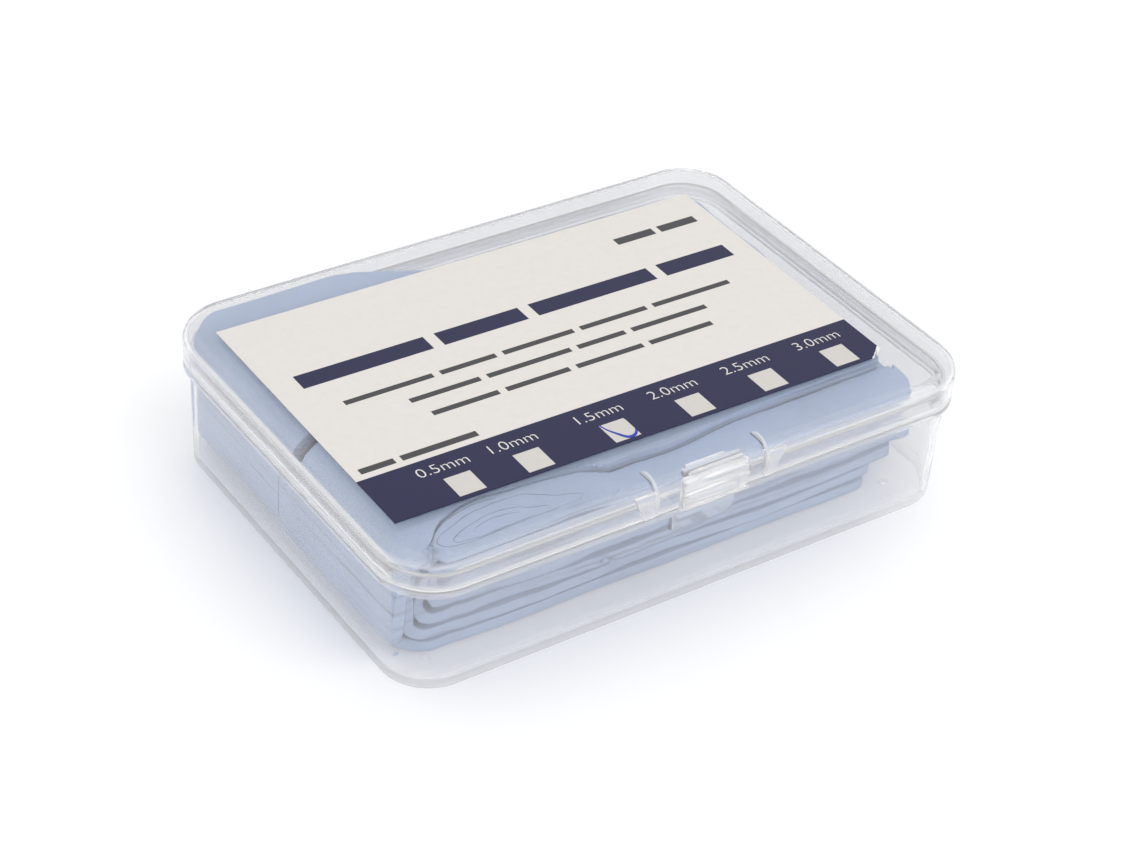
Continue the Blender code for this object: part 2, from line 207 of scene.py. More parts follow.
def grid_faces(rows, columns, closed):
    """Quads of a grid of rows by columns, whose columns close on themselves if asked."""
    across = columns if closed else columns - 1
    i, j = np.meshgrid(np.arange(rows - 1), np.arange(across), indexing="ij")
    k = (j + 1) % columns
    quads = np.stack([i * columns + j, i * columns + k, (i + 1) * columns + k,
                      (i + 1) * columns + j], axis=-1)
    return quads.reshape(-1, 4)


def arc(centre, radius, start, end, steps=5):
    """Points of a round bend: centre plus radius times the cosine and sine of the angle."""
    angles = np.radians(np.linspace(start, end, steps))
    return np.stack([centre[0] + radius * np.cos(angles), centre[1] + radius * np.sin(angles)], 1)


def round_outline(half_x, half_y, radius, corner_steps, long_steps, short_steps):
    """The core rectangle and the outward normals of a rectangle with round corners.

    A point of the outline is its core point plus the radius times its normal. At a corner the
    core point stands still while the normal turns a quarter round.
    """
    core, normal = [], []
    cx, cy = half_x - radius, half_y - radius
    corners = ((cx, cy), (-cx, cy), (-cx, -cy), (cx, -cy))
    for number, (x, y) in enumerate(corners):
        angles = np.radians(90.0 * number + np.linspace(0.0, 90.0, corner_steps))
        normal.append(np.stack([np.cos(angles), np.sin(angles)], 1))
        core.append(np.tile((x, y), (corner_steps, 1)))
        after = corners[(number + 1) % 4]
        steps = long_steps if number % 2 == 0 else short_steps
        share = np.linspace(0.0, 1.0, steps + 2)[1:-1, None]
        core.append((1.0 - share) * np.array((x, y)) + share * np.array(after))
        normal.append(np.tile((math.cos(angles[-1]), math.sin(angles[-1])), (steps, 1)))
    return np.concatenate(core), np.concatenate(normal)


def carried_profile(profile, core, normal, radius):
    """A profile carried round an outline.

    Each profile row holds an inset, a height and a share. The point is the share times the
    sum of the core point and the normal times the radius less the inset, at that height.
    """
    inset, height, share = profile[:, 0], profile[:, 1], profile[:, 2]
    flat = core[None] + normal[None] * (radius - inset)[:, None, None]
    flat = flat * share[:, None, None]
    tall = np.broadcast_to(height[:, None, None], (*flat.shape[:2], 1))
    return np.concatenate([flat, tall], axis=-1)


def shell_object(name, profile, half_x, half_y, radius, material, steps=(15, 26, 18)):
    """A closed shell from a profile that starts and ends on the middle axis, in millimetres."""
    core, normal = round_outline(half_x, half_y, radius, *steps)
    grid = carried_profile(profile, core, normal, radius) * MM
    rows, columns = grid.shape[:2]
    obj = make_object(name, grid.reshape(-1, 3), grid_faces(rows, columns, True), material)
    return settle(obj)


def with_share(points, share=1.0):
    """Profile points with one share for all."""
    points = np.asarray(points, float)
    return np.concatenate([points, np.full((len(points), 1), share)], axis=1)


def offset_outline(points, distance):
    """An outline moved inwards along its own normals."""
    before, after = np.roll(points, 1, axis=0), np.roll(points, -1, axis=0)
    one, two = points - before, after - points
    one /= np.linalg.norm(one, axis=1)[:, None]
    two /= np.linalg.norm(two, axis=1)[:, None]
    normal = np.stack([one[:, 1] + two[:, 1], -one[:, 0] - two[:, 0]], 1)
    size = np.linalg.norm(normal, axis=1)[:, None]
    area = np.sum(points[:, 0] * after[:, 1] - after[:, 0] * points[:, 1])
    reach = np.clip(2.0 / np.maximum(size, 0.8), 1.0, 1.6)
    return points - math.copysign(1.0, area) * distance * reach * normal / size


def plate_object(name, outline, low, high, axis, edge=0.12, steps=4, material=None):
    """A flat plate: its outline drawn out along one axis, with rounded edges.

    The outline moves in by the edge radius times one less the sine of an angle, while it moves
    along the axis by that radius times one less the cosine.
    """
    outline = np.asarray(outline, float)
    angles = np.radians(np.linspace(0.0, 90.0, steps))
    near = [(low + edge * (1 - math.cos(a)), edge * (1 - math.sin(a))) for a in angles]
    far = [(low + high - place, inset) for place, inset in reversed(near)]
    rings = []
    for place, inset in near + far:
        flat = offset_outline(outline, inset)
        rings.append(np.insert(flat, axis, place, axis=1))
    grid = np.stack(rings) * MM
    rows, columns = grid.shape[:2]
    faces = grid_faces(rows, columns, True).tolist()
    faces.append(list(range(columns)))
    faces.append(list(range((rows - 1) * columns, rows * columns)))
    return settle(make_object(name, grid.reshape(-1, 3), faces, material))


def rounded_rectangle(low, high, radius, steps=5):
    """A rectangle with round corners as one closed outline. Radius may be one for each corner,
    from the lower left one, against the clock."""
    radii = (radius,) * 4 if np.isscalar(radius) else radius
    (x0, y0), (x1, y1) = low, high
    corners = ((x0, y0, 1, 1, 180), (x1, y0, -1, 1, 270), (x1, y1, -1, -1, 0), (x0, y1, 1, -1, 90))
    parts = []
    for (x, y, sx, sy, start), r in zip(corners, radii):
        parts.append(arc((x + sx * r, y + sy * r), max(r, 1e-4), start, start + 90, steps))
    return np.concatenate(parts)


def bead_object(name, half, radius, centre, material=None, sides=20):
    """A round bar along X with rounded ends: circles whose radius follows a quarter round."""
    turn = np.radians(np.linspace(0, 90, 5))
    ends = np.concatenate([-half + radius * (1 - np.cos(turn)) * 0.5,
                           half - radius * (1 - np.cos(turn[::-1])) * 0.5])
    size = np.concatenate([np.sin(turn), np.sin(turn[::-1])]) * radius
    angle = np.linspace(0, 2 * math.pi, sides, endpoint=False)
    x = np.broadcast_to(ends[:, None], (len(ends), sides))
    y = centre[0] + size[:, None] * np.cos(angle)
    z = centre[1] + size[:, None] * np.sin(angle)
    grid = np.stack([x, y, z], -1) * MM
    obj = make_object(name, grid.reshape(-1, 3), grid_faces(*grid.shape[:2], True), material)
    return settle(obj)


def combine(obj, tools):
    """Join or cut each tool by the exact solver, then keep the result as the object's mesh."""
    for tool, operation in tools:
        modifier = obj.modifiers.new(f"{operation} {tool.name}", "BOOLEAN")
        modifier.operation = operation
        modifier.object = tool
        modifier.solver = "EXACT"
    bpy.context.view_layer.update()
    ready = obj.evaluated_get(bpy.context.evaluated_depsgraph_get())
    mesh = bpy.data.meshes.new_from_object(ready)
    obj.modifiers.clear()
    obj.data = mesh
    for tool, _ in tools:
        bpy.data.objects.remove(tool, do_unlink=True)
    bm = bmesh.new()
    bm.from_mesh(mesh)
    bmesh.ops.remove_doubles(bm, verts=bm.verts, dist=3e-7)
    bmesh.ops.dissolve_degenerate(bm, dist=3e-7, edges=bm.edges)
    bm.to_mesh(mesh)
    bm.free()
    mesh.shade_smooth()
    mesh.set_sharp_from_angle(angle=math.radians(32))
    return obj


def step(value, low, high):
    """A smooth rise from 0 at low to 1 at high: three squares less two cubes of the share."""
    share = np.clip((value - low) / (high - low), 0.0, 1.0)
    return share * share * (3.0 - 2.0 * share)


def band(value, low, high, soft):
    """1 between two values and 0 outside, with soft edges."""
    return step(value, low - soft, low) * (1.0 - step(value, high, high + soft))


def wall_depth(x, y, box):
    """How far a point lies inside the box's outline: less its signed distance from a
    rectangle with round corners."""
    radius = box.corner / MM
    over_x = np.abs(x) - (box.length / MM / 2 - radius)
    over_y = np.abs(y) - (box.width / MM / 2 - radius)
    outside = np.hypot(np.maximum(over_x, 0.0), np.maximum(over_y, 0.0))
    return radius - outside - np.minimum(np.maximum(over_x, over_y), 0.0)


def set_haze_and_highlight(obj, formula):
    """Store the haze and highlight value of each point, worked out from its place in millimetres.
    """
    mesh = obj.data
    flat = np.empty(len(mesh.vertices) * 3)
    mesh.vertices.foreach_get("co", flat)
    x, y, z = flat.reshape(-1, 3).T / MM
    value = np.clip(formula(x, y, z), 0.0, 1.0)
    layer = mesh.attributes.new("haze_and_highlight", "FLOAT", "POINT")
    layer.data.foreach_set("value", value.astype(np.float32))


def place(obj, body, slot, nodes=()):
    """Ride a body and stand for the CAD nodes. The slot is not used."""
    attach(obj, body)
    if nodes:
        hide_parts(*nodes)


# Materials

def new_material(name):
    """A material with its Principled shader, and a helper that adds nodes."""
    material = bpy.data.materials.new(name)
    material.use_nodes = True
    tree = material.node_tree
    return material, tree, tree.nodes["Principled BSDF"]


def noise_node(tree, scale, detail=3.0, roughness=0.5):
    """Noise on the object's own coordinates."""
    coordinates = tree.nodes.new("ShaderNodeTexCoord")
    noise = tree.nodes.new("ShaderNodeTexNoise")
    noise.inputs["Scale"].default_value = scale
    noise.inputs["Detail"].default_value = detail
    noise.inputs["Roughness"].default_value = roughness
    tree.links.new(coordinates.outputs["Object"], noise.inputs["Vector"])
    return noise


def colour_ramp(tree, source, stops):
    """A colour ramp from (position, colour) stops."""
    ramp = tree.nodes.new("ShaderNodeValToRGB")
    elements = ramp.color_ramp.elements
    while len(elements) < len(stops):
        elements.new(0.5)
    for element, (position, colour) in zip(elements, stops):
        element.position = position
        element.color = (*colour, 1.0)
    tree.links.new(source, ramp.inputs["Fac"])
    return ramp


def map_range(tree, source, low, high):
    """A value from 0 to 1 spread between two others."""
    node = tree.nodes.new("ShaderNodeMapRange")
    node.inputs["To Min"].default_value = low
    node.inputs["To Max"].default_value = high
    tree.links.new(source, node.inputs["Value"])
    return node.outputs["Result"]


def add_bump(tree, shader, height, strength, distance):
    """Bump from a height value."""
    bump = tree.nodes.new("ShaderNodeBump")
    bump.inputs["Strength"].default_value = strength
    bump.inputs["Distance"].default_value = distance
    tree.links.new(height, bump.inputs["Height"])
    tree.links.new(bump.outputs["Normal"], shader.inputs["Normal"])
    return bump


def scaled(colour, factor):
    """A colour made lighter or darker."""
    return tuple(min(1.0, c * factor) for c in colour)


def clear_plastic(colour, name="frosted_plastic", clear=0.965, roughness=0.045):
    """Frosted clear moulded plastic with faint flow marks and scuffs.

    The piece's own haze value makes it milkier; where it is raised in bands along the edges, the
    milky white is a painted highlight line.
    """
    material, tree, shader = new_material(name)
    # The haze attribute is partly the plastic's own milkiness and partly painted highlight lines
    # along its edges
    haze_and_highlight = tree.nodes.new("ShaderNodeAttribute")
    haze_and_highlight.attribute_name = "haze_and_highlight"
    milky = map_range(tree, haze_and_highlight.outputs["Fac"], clear, clear - 0.5)
    tree.links.new(milky, shader.inputs["Transmission Weight"])
    shader.inputs["IOR"].default_value = 1.47
    flow = noise_node(tree, 55.0, 4.0)
    ramp = colour_ramp(tree, flow.outputs["Fac"], [
        (0.3, scaled(colour, 0.985)), (0.7, colour),
    ])
    tree.links.new(ramp.outputs["Color"], shader.inputs["Base Color"])
    scuff = noise_node(tree, 420.0, 5.0, 0.65)
    rough = map_range(tree, scuff.outputs["Fac"], roughness * 0.75, roughness * 1.25)
    tree.links.new(rough, shader.inputs["Roughness"])
    add_bump(tree, shader, flow.outputs["Fac"], 0.004, 0.0002)
    # Light for what lies behind passes straight through the thin wall, and so does light that
    # the things inside throw back
    path = tree.nodes.new("ShaderNodeLightPath")
    either = tree.nodes.new("ShaderNodeMath")
    either.operation = "MAXIMUM"
    tree.links.new(path.outputs["Is Shadow Ray"], either.inputs[0])
    tree.links.new(path.outputs["Is Diffuse Ray"], either.inputs[1])
    through = tree.nodes.new("ShaderNodeBsdfTransparent")
    through.inputs["Color"].default_value = (0.98, 0.98, 0.98, 1.0)
    mix = tree.nodes.new("ShaderNodeMixShader")
    tree.links.new(either.outputs["Value"], mix.inputs["Fac"])
    tree.links.new(shader.outputs["BSDF"], mix.inputs[1])
    tree.links.new(through.outputs["BSDF"], mix.inputs[2])
    tree.links.new(mix.outputs["Shader"], tree.nodes["Material Output"].inputs["Surface"])
    return material


def pad_silicone(colour):
    """Matt filled silicone: soft mottling, fine filler specks and a dusty surface."""
    material, tree, shader = new_material("blue_silicone")
    cloud = noise_node(tree, 90.0, 4.0)
    ramp = colour_ramp(tree, cloud.outputs["Fac"], [
        (0.25, scaled(colour, 0.9)), (0.5, colour), (0.8, scaled(colour, 1.07)),
    ])
    # Fine lines along the cut edges, and not on level faces: noise drawn out along X and Y
    streaks = noise_node(tree, 1.0, 3.0, 0.6)
    stretch = tree.nodes.new("ShaderNodeMapping")
    stretch.inputs["Scale"].default_value = (30.0, 30.0, 1300.0)
    tree.links.new(streaks.inputs["Vector"].links[0].from_socket, stretch.inputs["Vector"])
    tree.links.new(stretch.outputs["Vector"], streaks.inputs["Vector"])
    specks = noise_node(tree, 2600.0, 2.0)
    grain = colour_ramp(tree, specks.outputs["Fac"], [(0.35, (0.97,) * 3), (0.7, (1.03,) * 3)])
    mix = tree.nodes.new("ShaderNodeMix")
    mix.data_type = "RGBA"
    mix.blend_type = "MULTIPLY"
    mix.inputs["Factor"].default_value = 1.0
    tree.links.new(ramp.outputs["Color"], mix.inputs[6])
    tree.links.new(grain.outputs["Color"], mix.inputs[7])
    edge_lines = colour_ramp(tree, streaks.outputs["Fac"], [
        (0.36, (0.66,) * 3), (0.43, (0.95,) * 3), (0.6, (1.0,) * 3), (0.72, (1.08,) * 3),
    ])
    lined = tree.nodes.new("ShaderNodeMix")
    lined.data_type = "RGBA"
    lined.blend_type = "MULTIPLY"
    facing = tree.nodes.new("ShaderNodeTexCoord")
    parts = tree.nodes.new("ShaderNodeSeparateXYZ")
    tree.links.new(facing.outputs["Normal"], parts.inputs["Vector"])
    level = tree.nodes.new("ShaderNodeMath")
    level.operation = "ABSOLUTE"
    tree.links.new(parts.outputs["Z"], level.inputs[0])
    upright = map_range(tree, level.outputs["Value"], 1.0, 0.0)
    tree.links.new(upright, lined.inputs["Factor"])
    tree.links.new(mix.outputs[2], lined.inputs[6])
    tree.links.new(edge_lines.outputs["Color"], lined.inputs[7])
    tree.links.new(lined.outputs[2], shader.inputs["Base Color"])
    rough = map_range(tree, cloud.outputs["Fac"], 0.5, 0.68)
    tree.links.new(rough, shader.inputs["Roughness"])
    add_bump(tree, shader, specks.outputs["Fac"], 0.06, 0.00004)
    return material


def printed_paper(name, colour, roughness, sheen_change):
    """Coated label paper, bare or printed, with faint fibre mottling."""
    material, tree, shader = new_material(name)
    fibre = noise_node(tree, 700.0, 4.0, 0.6)
    ramp = colour_ramp(tree, fibre.outputs["Fac"], [
        (0.3, scaled(colour, 1.0 - sheen_change)), (0.7, scaled(colour, 1.0 + sheen_change)),
    ])
    tree.links.new(ramp.outputs["Color"], shader.inputs["Base Color"])
    shader.inputs["Specular IOR Level"].default_value = 0.3
    rough = map_range(tree, fibre.outputs["Fac"], roughness - 0.05, roughness + 0.05)
    tree.links.new(rough, shader.inputs["Roughness"])
    add_bump(tree, shader, fibre.outputs["Fac"], 0.05, 0.00003)
    return material


def get_material(key):
    """The material of that name, made when first asked for."""
    if key in bpy.data.materials:
        return bpy.data.materials[key]
    look = bpy.context.scene.pad_finishes
    makers = {
        "frosted_plastic": lambda: clear_plastic(look.plastic, "frosted_plastic"),
        "blue_silicone": lambda: pad_silicone(look.pad),
        "label_blank": lambda: printed_paper("label_blank", look.paper, 0.5, 0.02),
        "label_band": lambda: printed_paper("label_band", look.ink, 0.42, 0.06),
        "label_box": lambda: printed_paper("label_box", scaled(look.paper, 0.85), 0.5, 0.02),
        "label_grey": lambda: printed_paper("label_grey", (0.055, 0.055, 0.06), 0.45, 0.06),
        "label_torn": lambda: printed_paper("label_torn", (0.8, 0.79, 0.78), 0.8, 0.03),
        "pen_ink": lambda: printed_paper("pen_ink", (0.015, 0.04, 0.38), 0.3, 0.15),
        "pen_on_band": lambda: printed_paper("pen_on_band", (0.012, 0.01, 0.06), 0.3, 0.15),
        # The creases' pad colour at under half brightness is painted shade in the creases
        "pad_crease_shade": lambda: printed_paper("pad_crease_shade", scaled(look.pad, 0.45), 0.6, 0.1),
    }
    return makers[key]()


# Box

def base_profile(box):
    """The tray's section, from the middle of its bottom, round the wall, to its floor."""
    inset, wall = box.inset / MM, box.wall / MM
    foot = inset + DRAFT
    rim_top = FLANGE_TOP + box.rim / MM
    flange = FLANGE_TOP - FLANGE_HEIGHT
    cavity = inset + wall
    return np.concatenate([
        np.array([(foot + BASE_FILLET, 0.0, s) for s in (0.0, 0.35, 0.7, 0.9)]),
        with_share([(foot + BASE_FILLET - BASE_FILLET * math.sin(a),
                     BASE_FILLET - BASE_FILLET * math.cos(a))
                    for a in np.radians(np.linspace(0, 90, 8))]),
        with_share([(foot + (inset - foot) * t, BASE_FILLET + (flange - 0.25 - BASE_FILLET) * t)
                    for t in (0.25, 0.5, 0.75, 1.0)]),
        with_share(arc((inset - 0.15, flange - 0.15), 0.15, 0, 90, 4)),
        with_share(arc((0.2, flange + 0.2), 0.2, 270, 180, 5)),
        with_share(arc((0.2, FLANGE_TOP - 0.2), 0.2, 180, 90, 5)),
        with_share(arc((RIM_INSET - 0.12, FLANGE_TOP + 0.12), 0.12, 270, 360, 4)),
        with_share(arc((RIM_INSET + 0.25, rim_top - 0.25), 0.25, 180, 90, 5)),
        with_share(arc((cavity - 0.25, rim_top - 0.25), 0.25, 90, 0, 5)),
        with_share([(cavity, rim_top * 0.6), (cavity, rim_top * 0.35)]),
        with_share(arc((cavity + BASE_FILLET, wall + BASE_FILLET), BASE_FILLET, 180, 270, 8)),
        np.array([(cavity + BASE_FILLET, wall, s) for s in (0.9, 0.7, 0.35, 0.0)]),
    ])


def lid_profile(box):
    """The lid's section, from the middle of its top, round the skirt, to its underside."""
    top, bottom = box.height / MM, (box.height - box.skirt) / MM
    fillet, wall = box.lid_fillet / MM, box.lid_wall / MM
    under = top - box.lid_top / MM
    inner = fillet - wall
    return np.concatenate([
        np.array([(fillet, top, s) for s in (0.0, 0.35, 0.7, 0.9)]),
        with_share(arc((fillet, top - fillet), fillet, 90, 180, 12)),
        with_share([(0.0, bottom + (top - fillet - bottom) * t) for t in (0.75, 0.5, 0.25)]),
        with_share(arc((0.25, bottom + 0.25), 0.25, 180, 270, 6)),
        with_share(arc((wall - 0.25, bottom + 0.25), 0.25, 270, 360, 6)),
        with_share([(wall, bottom + (under - inner - bottom) * t) for t in (0.33, 0.66)]),
        with_share(arc((fillet, under - inner), inner, 180, 90, 8)),
        np.array([(fillet, under, s) for s in (0.9, 0.7, 0.35, 0.0)]),
    ])


def fin_outline():
    """A guard fin's outline in (y, z): a hook over the lid's front edge."""
    return np.array([
        (-30.75, 22.3), (-30.72, 22.75), (-30.9, 23.1), (-31.3, 23.42), (-31.9, 23.62),
        (-32.6, 23.62), (-33.4, 23.45), (-34.1, 23.1), (-34.7, 22.55), (-35.1, 21.8),
        (-35.35, 20.9), (-35.32, 20.0), (-35.1, 19.1), (-34.8, 18.4), (-34.5, 17.95),
        (-34.0, 17.95), (-34.0, 21.0), (-33.6, 21.9), (-32.6, 22.3),
    ])


def block(name, low, high, axis, radius=0.15, edge=0.12):
    """A small block with rounded edges between two corners, in millimetres."""
    a, b = [i for i in range(3) if i != axis]
    outline = rounded_rectangle((low[a], low[b]), (high[a], high[b]), radius)
    return plate_object(name, outline, low[axis], high[axis], axis, edge)


def base_haze_and_highlight(depth, y, z):
    """Milky at the foot and the small pieces on the front; the milky bands at the flange and the
    rim's top are painted highlight lines.
    """
    foot = 0.55 * (1.0 - step(z, 0.7, 1.6)) * (1.0 - step(depth, 2.6, 3.6))
    floor = 0.85 * (1.0 - step(z, 1.25, 1.6))
    # Painted highlight: milky white lines at the flange and the rim's top
    flange = 0.5 * band(z, 16.35, 17.45, 0.1) * (1.0 - step(depth, 1.3, 1.5))
    rim = 0.55 * step(z, 19.3, 19.5)
    boss = 0.22 * (1.0 - step(depth, 0.6, 0.8)) * (1.0 - step(z, 16.3, 16.4))
    return np.maximum.reduce([foot, floor, flange, rim, boss, np.full_like(z, 0.11)])


def lid_haze_and_highlight(depth, y, z):
    """Milky at the fins and steps at the latch; the milky bands at the skirt's edge and along the
    round upper edge are painted highlight lines.
    """
    # Painted highlight: a milky white line along the skirt's lower edge
    skirt = 0.75 * (1.0 - step(z, 17.9, 18.25))
    side = 0.12 * (1.0 - step(depth, 1.6, 2.2))
    # Painted highlight: a milky white line along the round upper edge
    line = 0.6 * band(z, 21.35, 21.9, 0.25) * (1.0 - step(depth, 0.9, 1.4))
    front = 0.65 * np.maximum(1.0 - step(y, -34.62, -34.52), step(z, 22.93, 23.0))
    return np.maximum.reduce([skirt, side, line, front])


class PADBOX_OT_base(bpy.types.Operator):
    """Build the open tray of the box"""

    bl_idname = "padbox.base"
    bl_label = "Box base"

    def execute(self, context):
        box = context.scene.pad_box
        base = shell_object(
            "box_base_tray", base_profile(box), box.length / MM / 2, box.width / MM / 2,
            box.corner / MM, get_material("frosted_plastic"),
        )
        front = -box.width / MM / 2
        wall = front + box.inset / MM
        flange = FLANGE_TOP - FLANGE_HEIGHT
        boss_outline = rounded_rectangle(
            (-6.1, flange - 3.0), (4.6, flange + 0.4), (0.5, 1.8, 0.3, 0.3), 7,
        )
        boss = plate_object("boss", boss_outline, wall - 0.6, wall + 0.7, 1, 0.2)
        catch = block(
            "catch", (-4.0, front + 0.02, 18.5), (4.0, front + 1.6, 19.3), 0,
            (0.15, 0.15, 0.15, 0.3),
        )
        back = -front
        web = block(
            "hinge_web", (-HINGE_HALF, back - 0.4, FLANGE_TOP - 0.32),
            (HINGE_HALF, back + 0.6, FLANGE_TOP - 0.01), 0, 0.06, 0.05,
        )
        bead = bead_object("hinge_bead", HINGE_HALF, 0.35, HINGE_AXIS)
        tools = [(boss, "UNION"), (catch, "UNION"), (web, "UNION"), (bead, "UNION")]
        for number, (x, y) in enumerate(PIN_MARKS):
            turn = np.radians(np.linspace(0, 360, 25)[:-1])
            ring = np.stack([x + 0.75 * np.cos(turn), y + 0.75 * np.sin(turn)], 1)
            mark = plate_object(f"pin_mark_{number}", ring, 1.0, 1.38, 2, 0.12, 4)
            tools.append((mark, "UNION"))
        combine(base, tools)
        set_haze_and_highlight(base, lambda x, y, z: base_haze_and_highlight(wall_depth(x, y, box), y, z))
        place(base, "base", "clear_plastic", ["box_base"])
        return {"FINISHED"}


class PADBOX_OT_lid(bpy.types.Operator):
    """Build the lid with its latch root and guard fins"""

    bl_idname = "padbox.lid"
    bl_label = "Box lid"

    def execute(self, context):
        box = context.scene.pad_box
        lid = shell_object(
            "box_lid_cover", lid_profile(box), box.length / MM / 2, box.width / MM / 2,
            box.corner / MM, get_material("frosted_plastic"),
        )
        top = box.height / MM
        root_front = block("root_front", (-4.8, -34.05, top - 1.0), (4.85, -33.3, top + 0.38), 0)
        root_back = block(
            "root_back", (-4.0, -33.5, top - 1.0), (2.5, -32.95, top + 0.62), 0, 0.13,
        )
        tools = [(root_front, "UNION"), (root_back, "UNION")]
        for side, word, low in ((-1, "left", FIN_LEFT), (1, "right", FIN_RIGHT)):
            fin = plate_object(f"fin_{word}", fin_outline(), low, low + FIN_THICKNESS, 0, 0.16)
            tools.append((fin, "UNION"))
            inner = low + 0.2
            gusset = np.array([
                (inner, 22.0), (inner, 17.9), (inner + side * 1.6, 17.9),
                (inner + side * 3.4, 22.0),
            ])
            web = plate_object(f"gusset_{word}", gusset[::side], -34.88, -34.0, 1, 0.1, 4)
            tools.append((web, "UNION"))
        leaf = block(
            "hinge_leaf", (-HINGE_HALF, 34.2, 17.72), (HINGE_HALF, 34.74, 18.25), 0, 0.12, 0.1,
        )
        tools.append((leaf, "UNION"))
        window_outline = rounded_rectangle((-4.7, 17.0), (4.7, 20.0), (0.05, 0.05, 0.3, 0.3))
        window = plate_object("window", window_outline, -34.8, -33.1, 1, 0.001, 2)
        tools.append((window, "DIFFERENCE"))
        combine(lid, tools)
        set_haze_and_highlight(lid, lambda x, y, z: lid_haze_and_highlight(wall_depth(x, y, box), y, z))
        place(lid, "lid", "clear_plastic", ["box_lid"])
        return {"FINISHED"}


class PADBOX_OT_latch(bpy.types.Operator):
    """Build the ribbed latch plate"""

    bl_idname = "padbox.latch"
    bl_label = "Front latch"

    def execute(self, context):
        latch = plate_object(
            "latch_plate", latch_section(), *LATCH_ENDS, 0, 0.3, 6, get_material("frosted_plastic"),
        )
        bead = bead_object("latch_bead", 4.6, 0.4, LATCH_AXIS)
        combine(latch, [(bead, "UNION")])
        set_haze_and_highlight(latch, lambda x, y, z: np.full_like(z, 0.36))
        place(latch, "latch", "clear_plastic", ["front_latch"])
        return {"FINISHED"}


def latch_section():
    """The latch's section in (y, z): a straight back and a front with three round ribs."""
    back, front, top, bottom = -35.1, -36.1, 23.35, 18.2
    height = np.linspace(top - 0.25, bottom + 0.25, 60)
    ribs = sum(np.exp(-((height - (top - drop)) / 0.27) ** 4) for drop in (0.55, 2.35, 4.6))
    face = np.stack([front - 0.36 * ribs, height], 1)
    return np.concatenate([
        arc((back - 0.2, top - 0.2), 0.2, 0, 90, 4),
        arc((front + 0.25, top - 0.25), 0.25, 90, 180, 5)[:-1],
        face,
        arc((front + 0.25, bottom + 0.25), 0.25, 180, 270, 5)[1:],
        arc((back - 0.2, bottom + 0.2), 0.2, 270, 360, 4),
    ])


# Label

LABEL_HALF = (41.0, 25.1)
LABEL_MIDDLE = (-2.9, 0.4)
LABEL_TURN = math.radians(-0.5)
LABEL_GAP = 0.05
LABEL_THICKNESS = 0.13
BAND_TOP = -15.1
CHECK_LEFTS = (-30.65, -19.8, -5.75, 6.95, 19.65, 32.5)
CHECK_LOW, CHECK_HIGH, CHECK_WIDTH = -24.4, -20.05, 4.15
NUMBERS = ("0.5", "1.0", "1.5", "2.0", "2.5", "3.0")
WIDE_BARS = ((-36.8, -15.8), (-14.0, 0.2), (2.0, 23.0), (24.8, 37.2))
THIN_BARS = (
    (0.75, 1.8, ((-33.6, -19.4), (-18.2, -9.0), (-7.8, 4.2), (5.4, 17.0), (18.2, 32.0))),
    (-3.1, -2.05, ((-25.4, -14.0), (-12.8, 1.2), (2.4, 10.6), (11.8, 25.0))),
    (-7.1, -6.05, ((-24.2, -13.4), (-12.2, -1.6), (-0.4, 11.0), (12.2, 23.2))),
    (17.5, 19.2, ((23.2, 30.2), (31.2, 38.0))),
    (-14.0, -12.8, ((-39.6, -34.2), (-33.2, -21.2))),
)


def label_spots():
    """Printed rectangles of the label: (low x, high x, low y, high y, material number)."""
    spots = [(-LABEL_HALF[0], LABEL_HALF[0], -LABEL_HALF[1], BAND_TOP, 1)]
    spots += [(x, x + CHECK_WIDTH, CHECK_LOW, CHECK_HIGH, 4) for x in CHECK_LEFTS]
    spots += [(low, high, 6.9, 10.2, 1) for low, high in WIDE_BARS]
    for low, high, bars in THIN_BARS:
        spots += [(left, right, low, high, 2) for left, right in bars]
    return spots


def label_place(points):
    """Label coordinates in millimetres, turned and moved onto the lid, in metres."""
    cosine, sine = math.cos(LABEL_TURN), math.sin(LABEL_TURN)
    x = points[..., 0] * cosine - points[..., 1] * sine + LABEL_MIDDLE[0]
    y = points[..., 0] * sine + points[..., 1] * cosine + LABEL_MIDDLE[1]
    return np.stack([x, y, points[..., 2]], -1) * MM


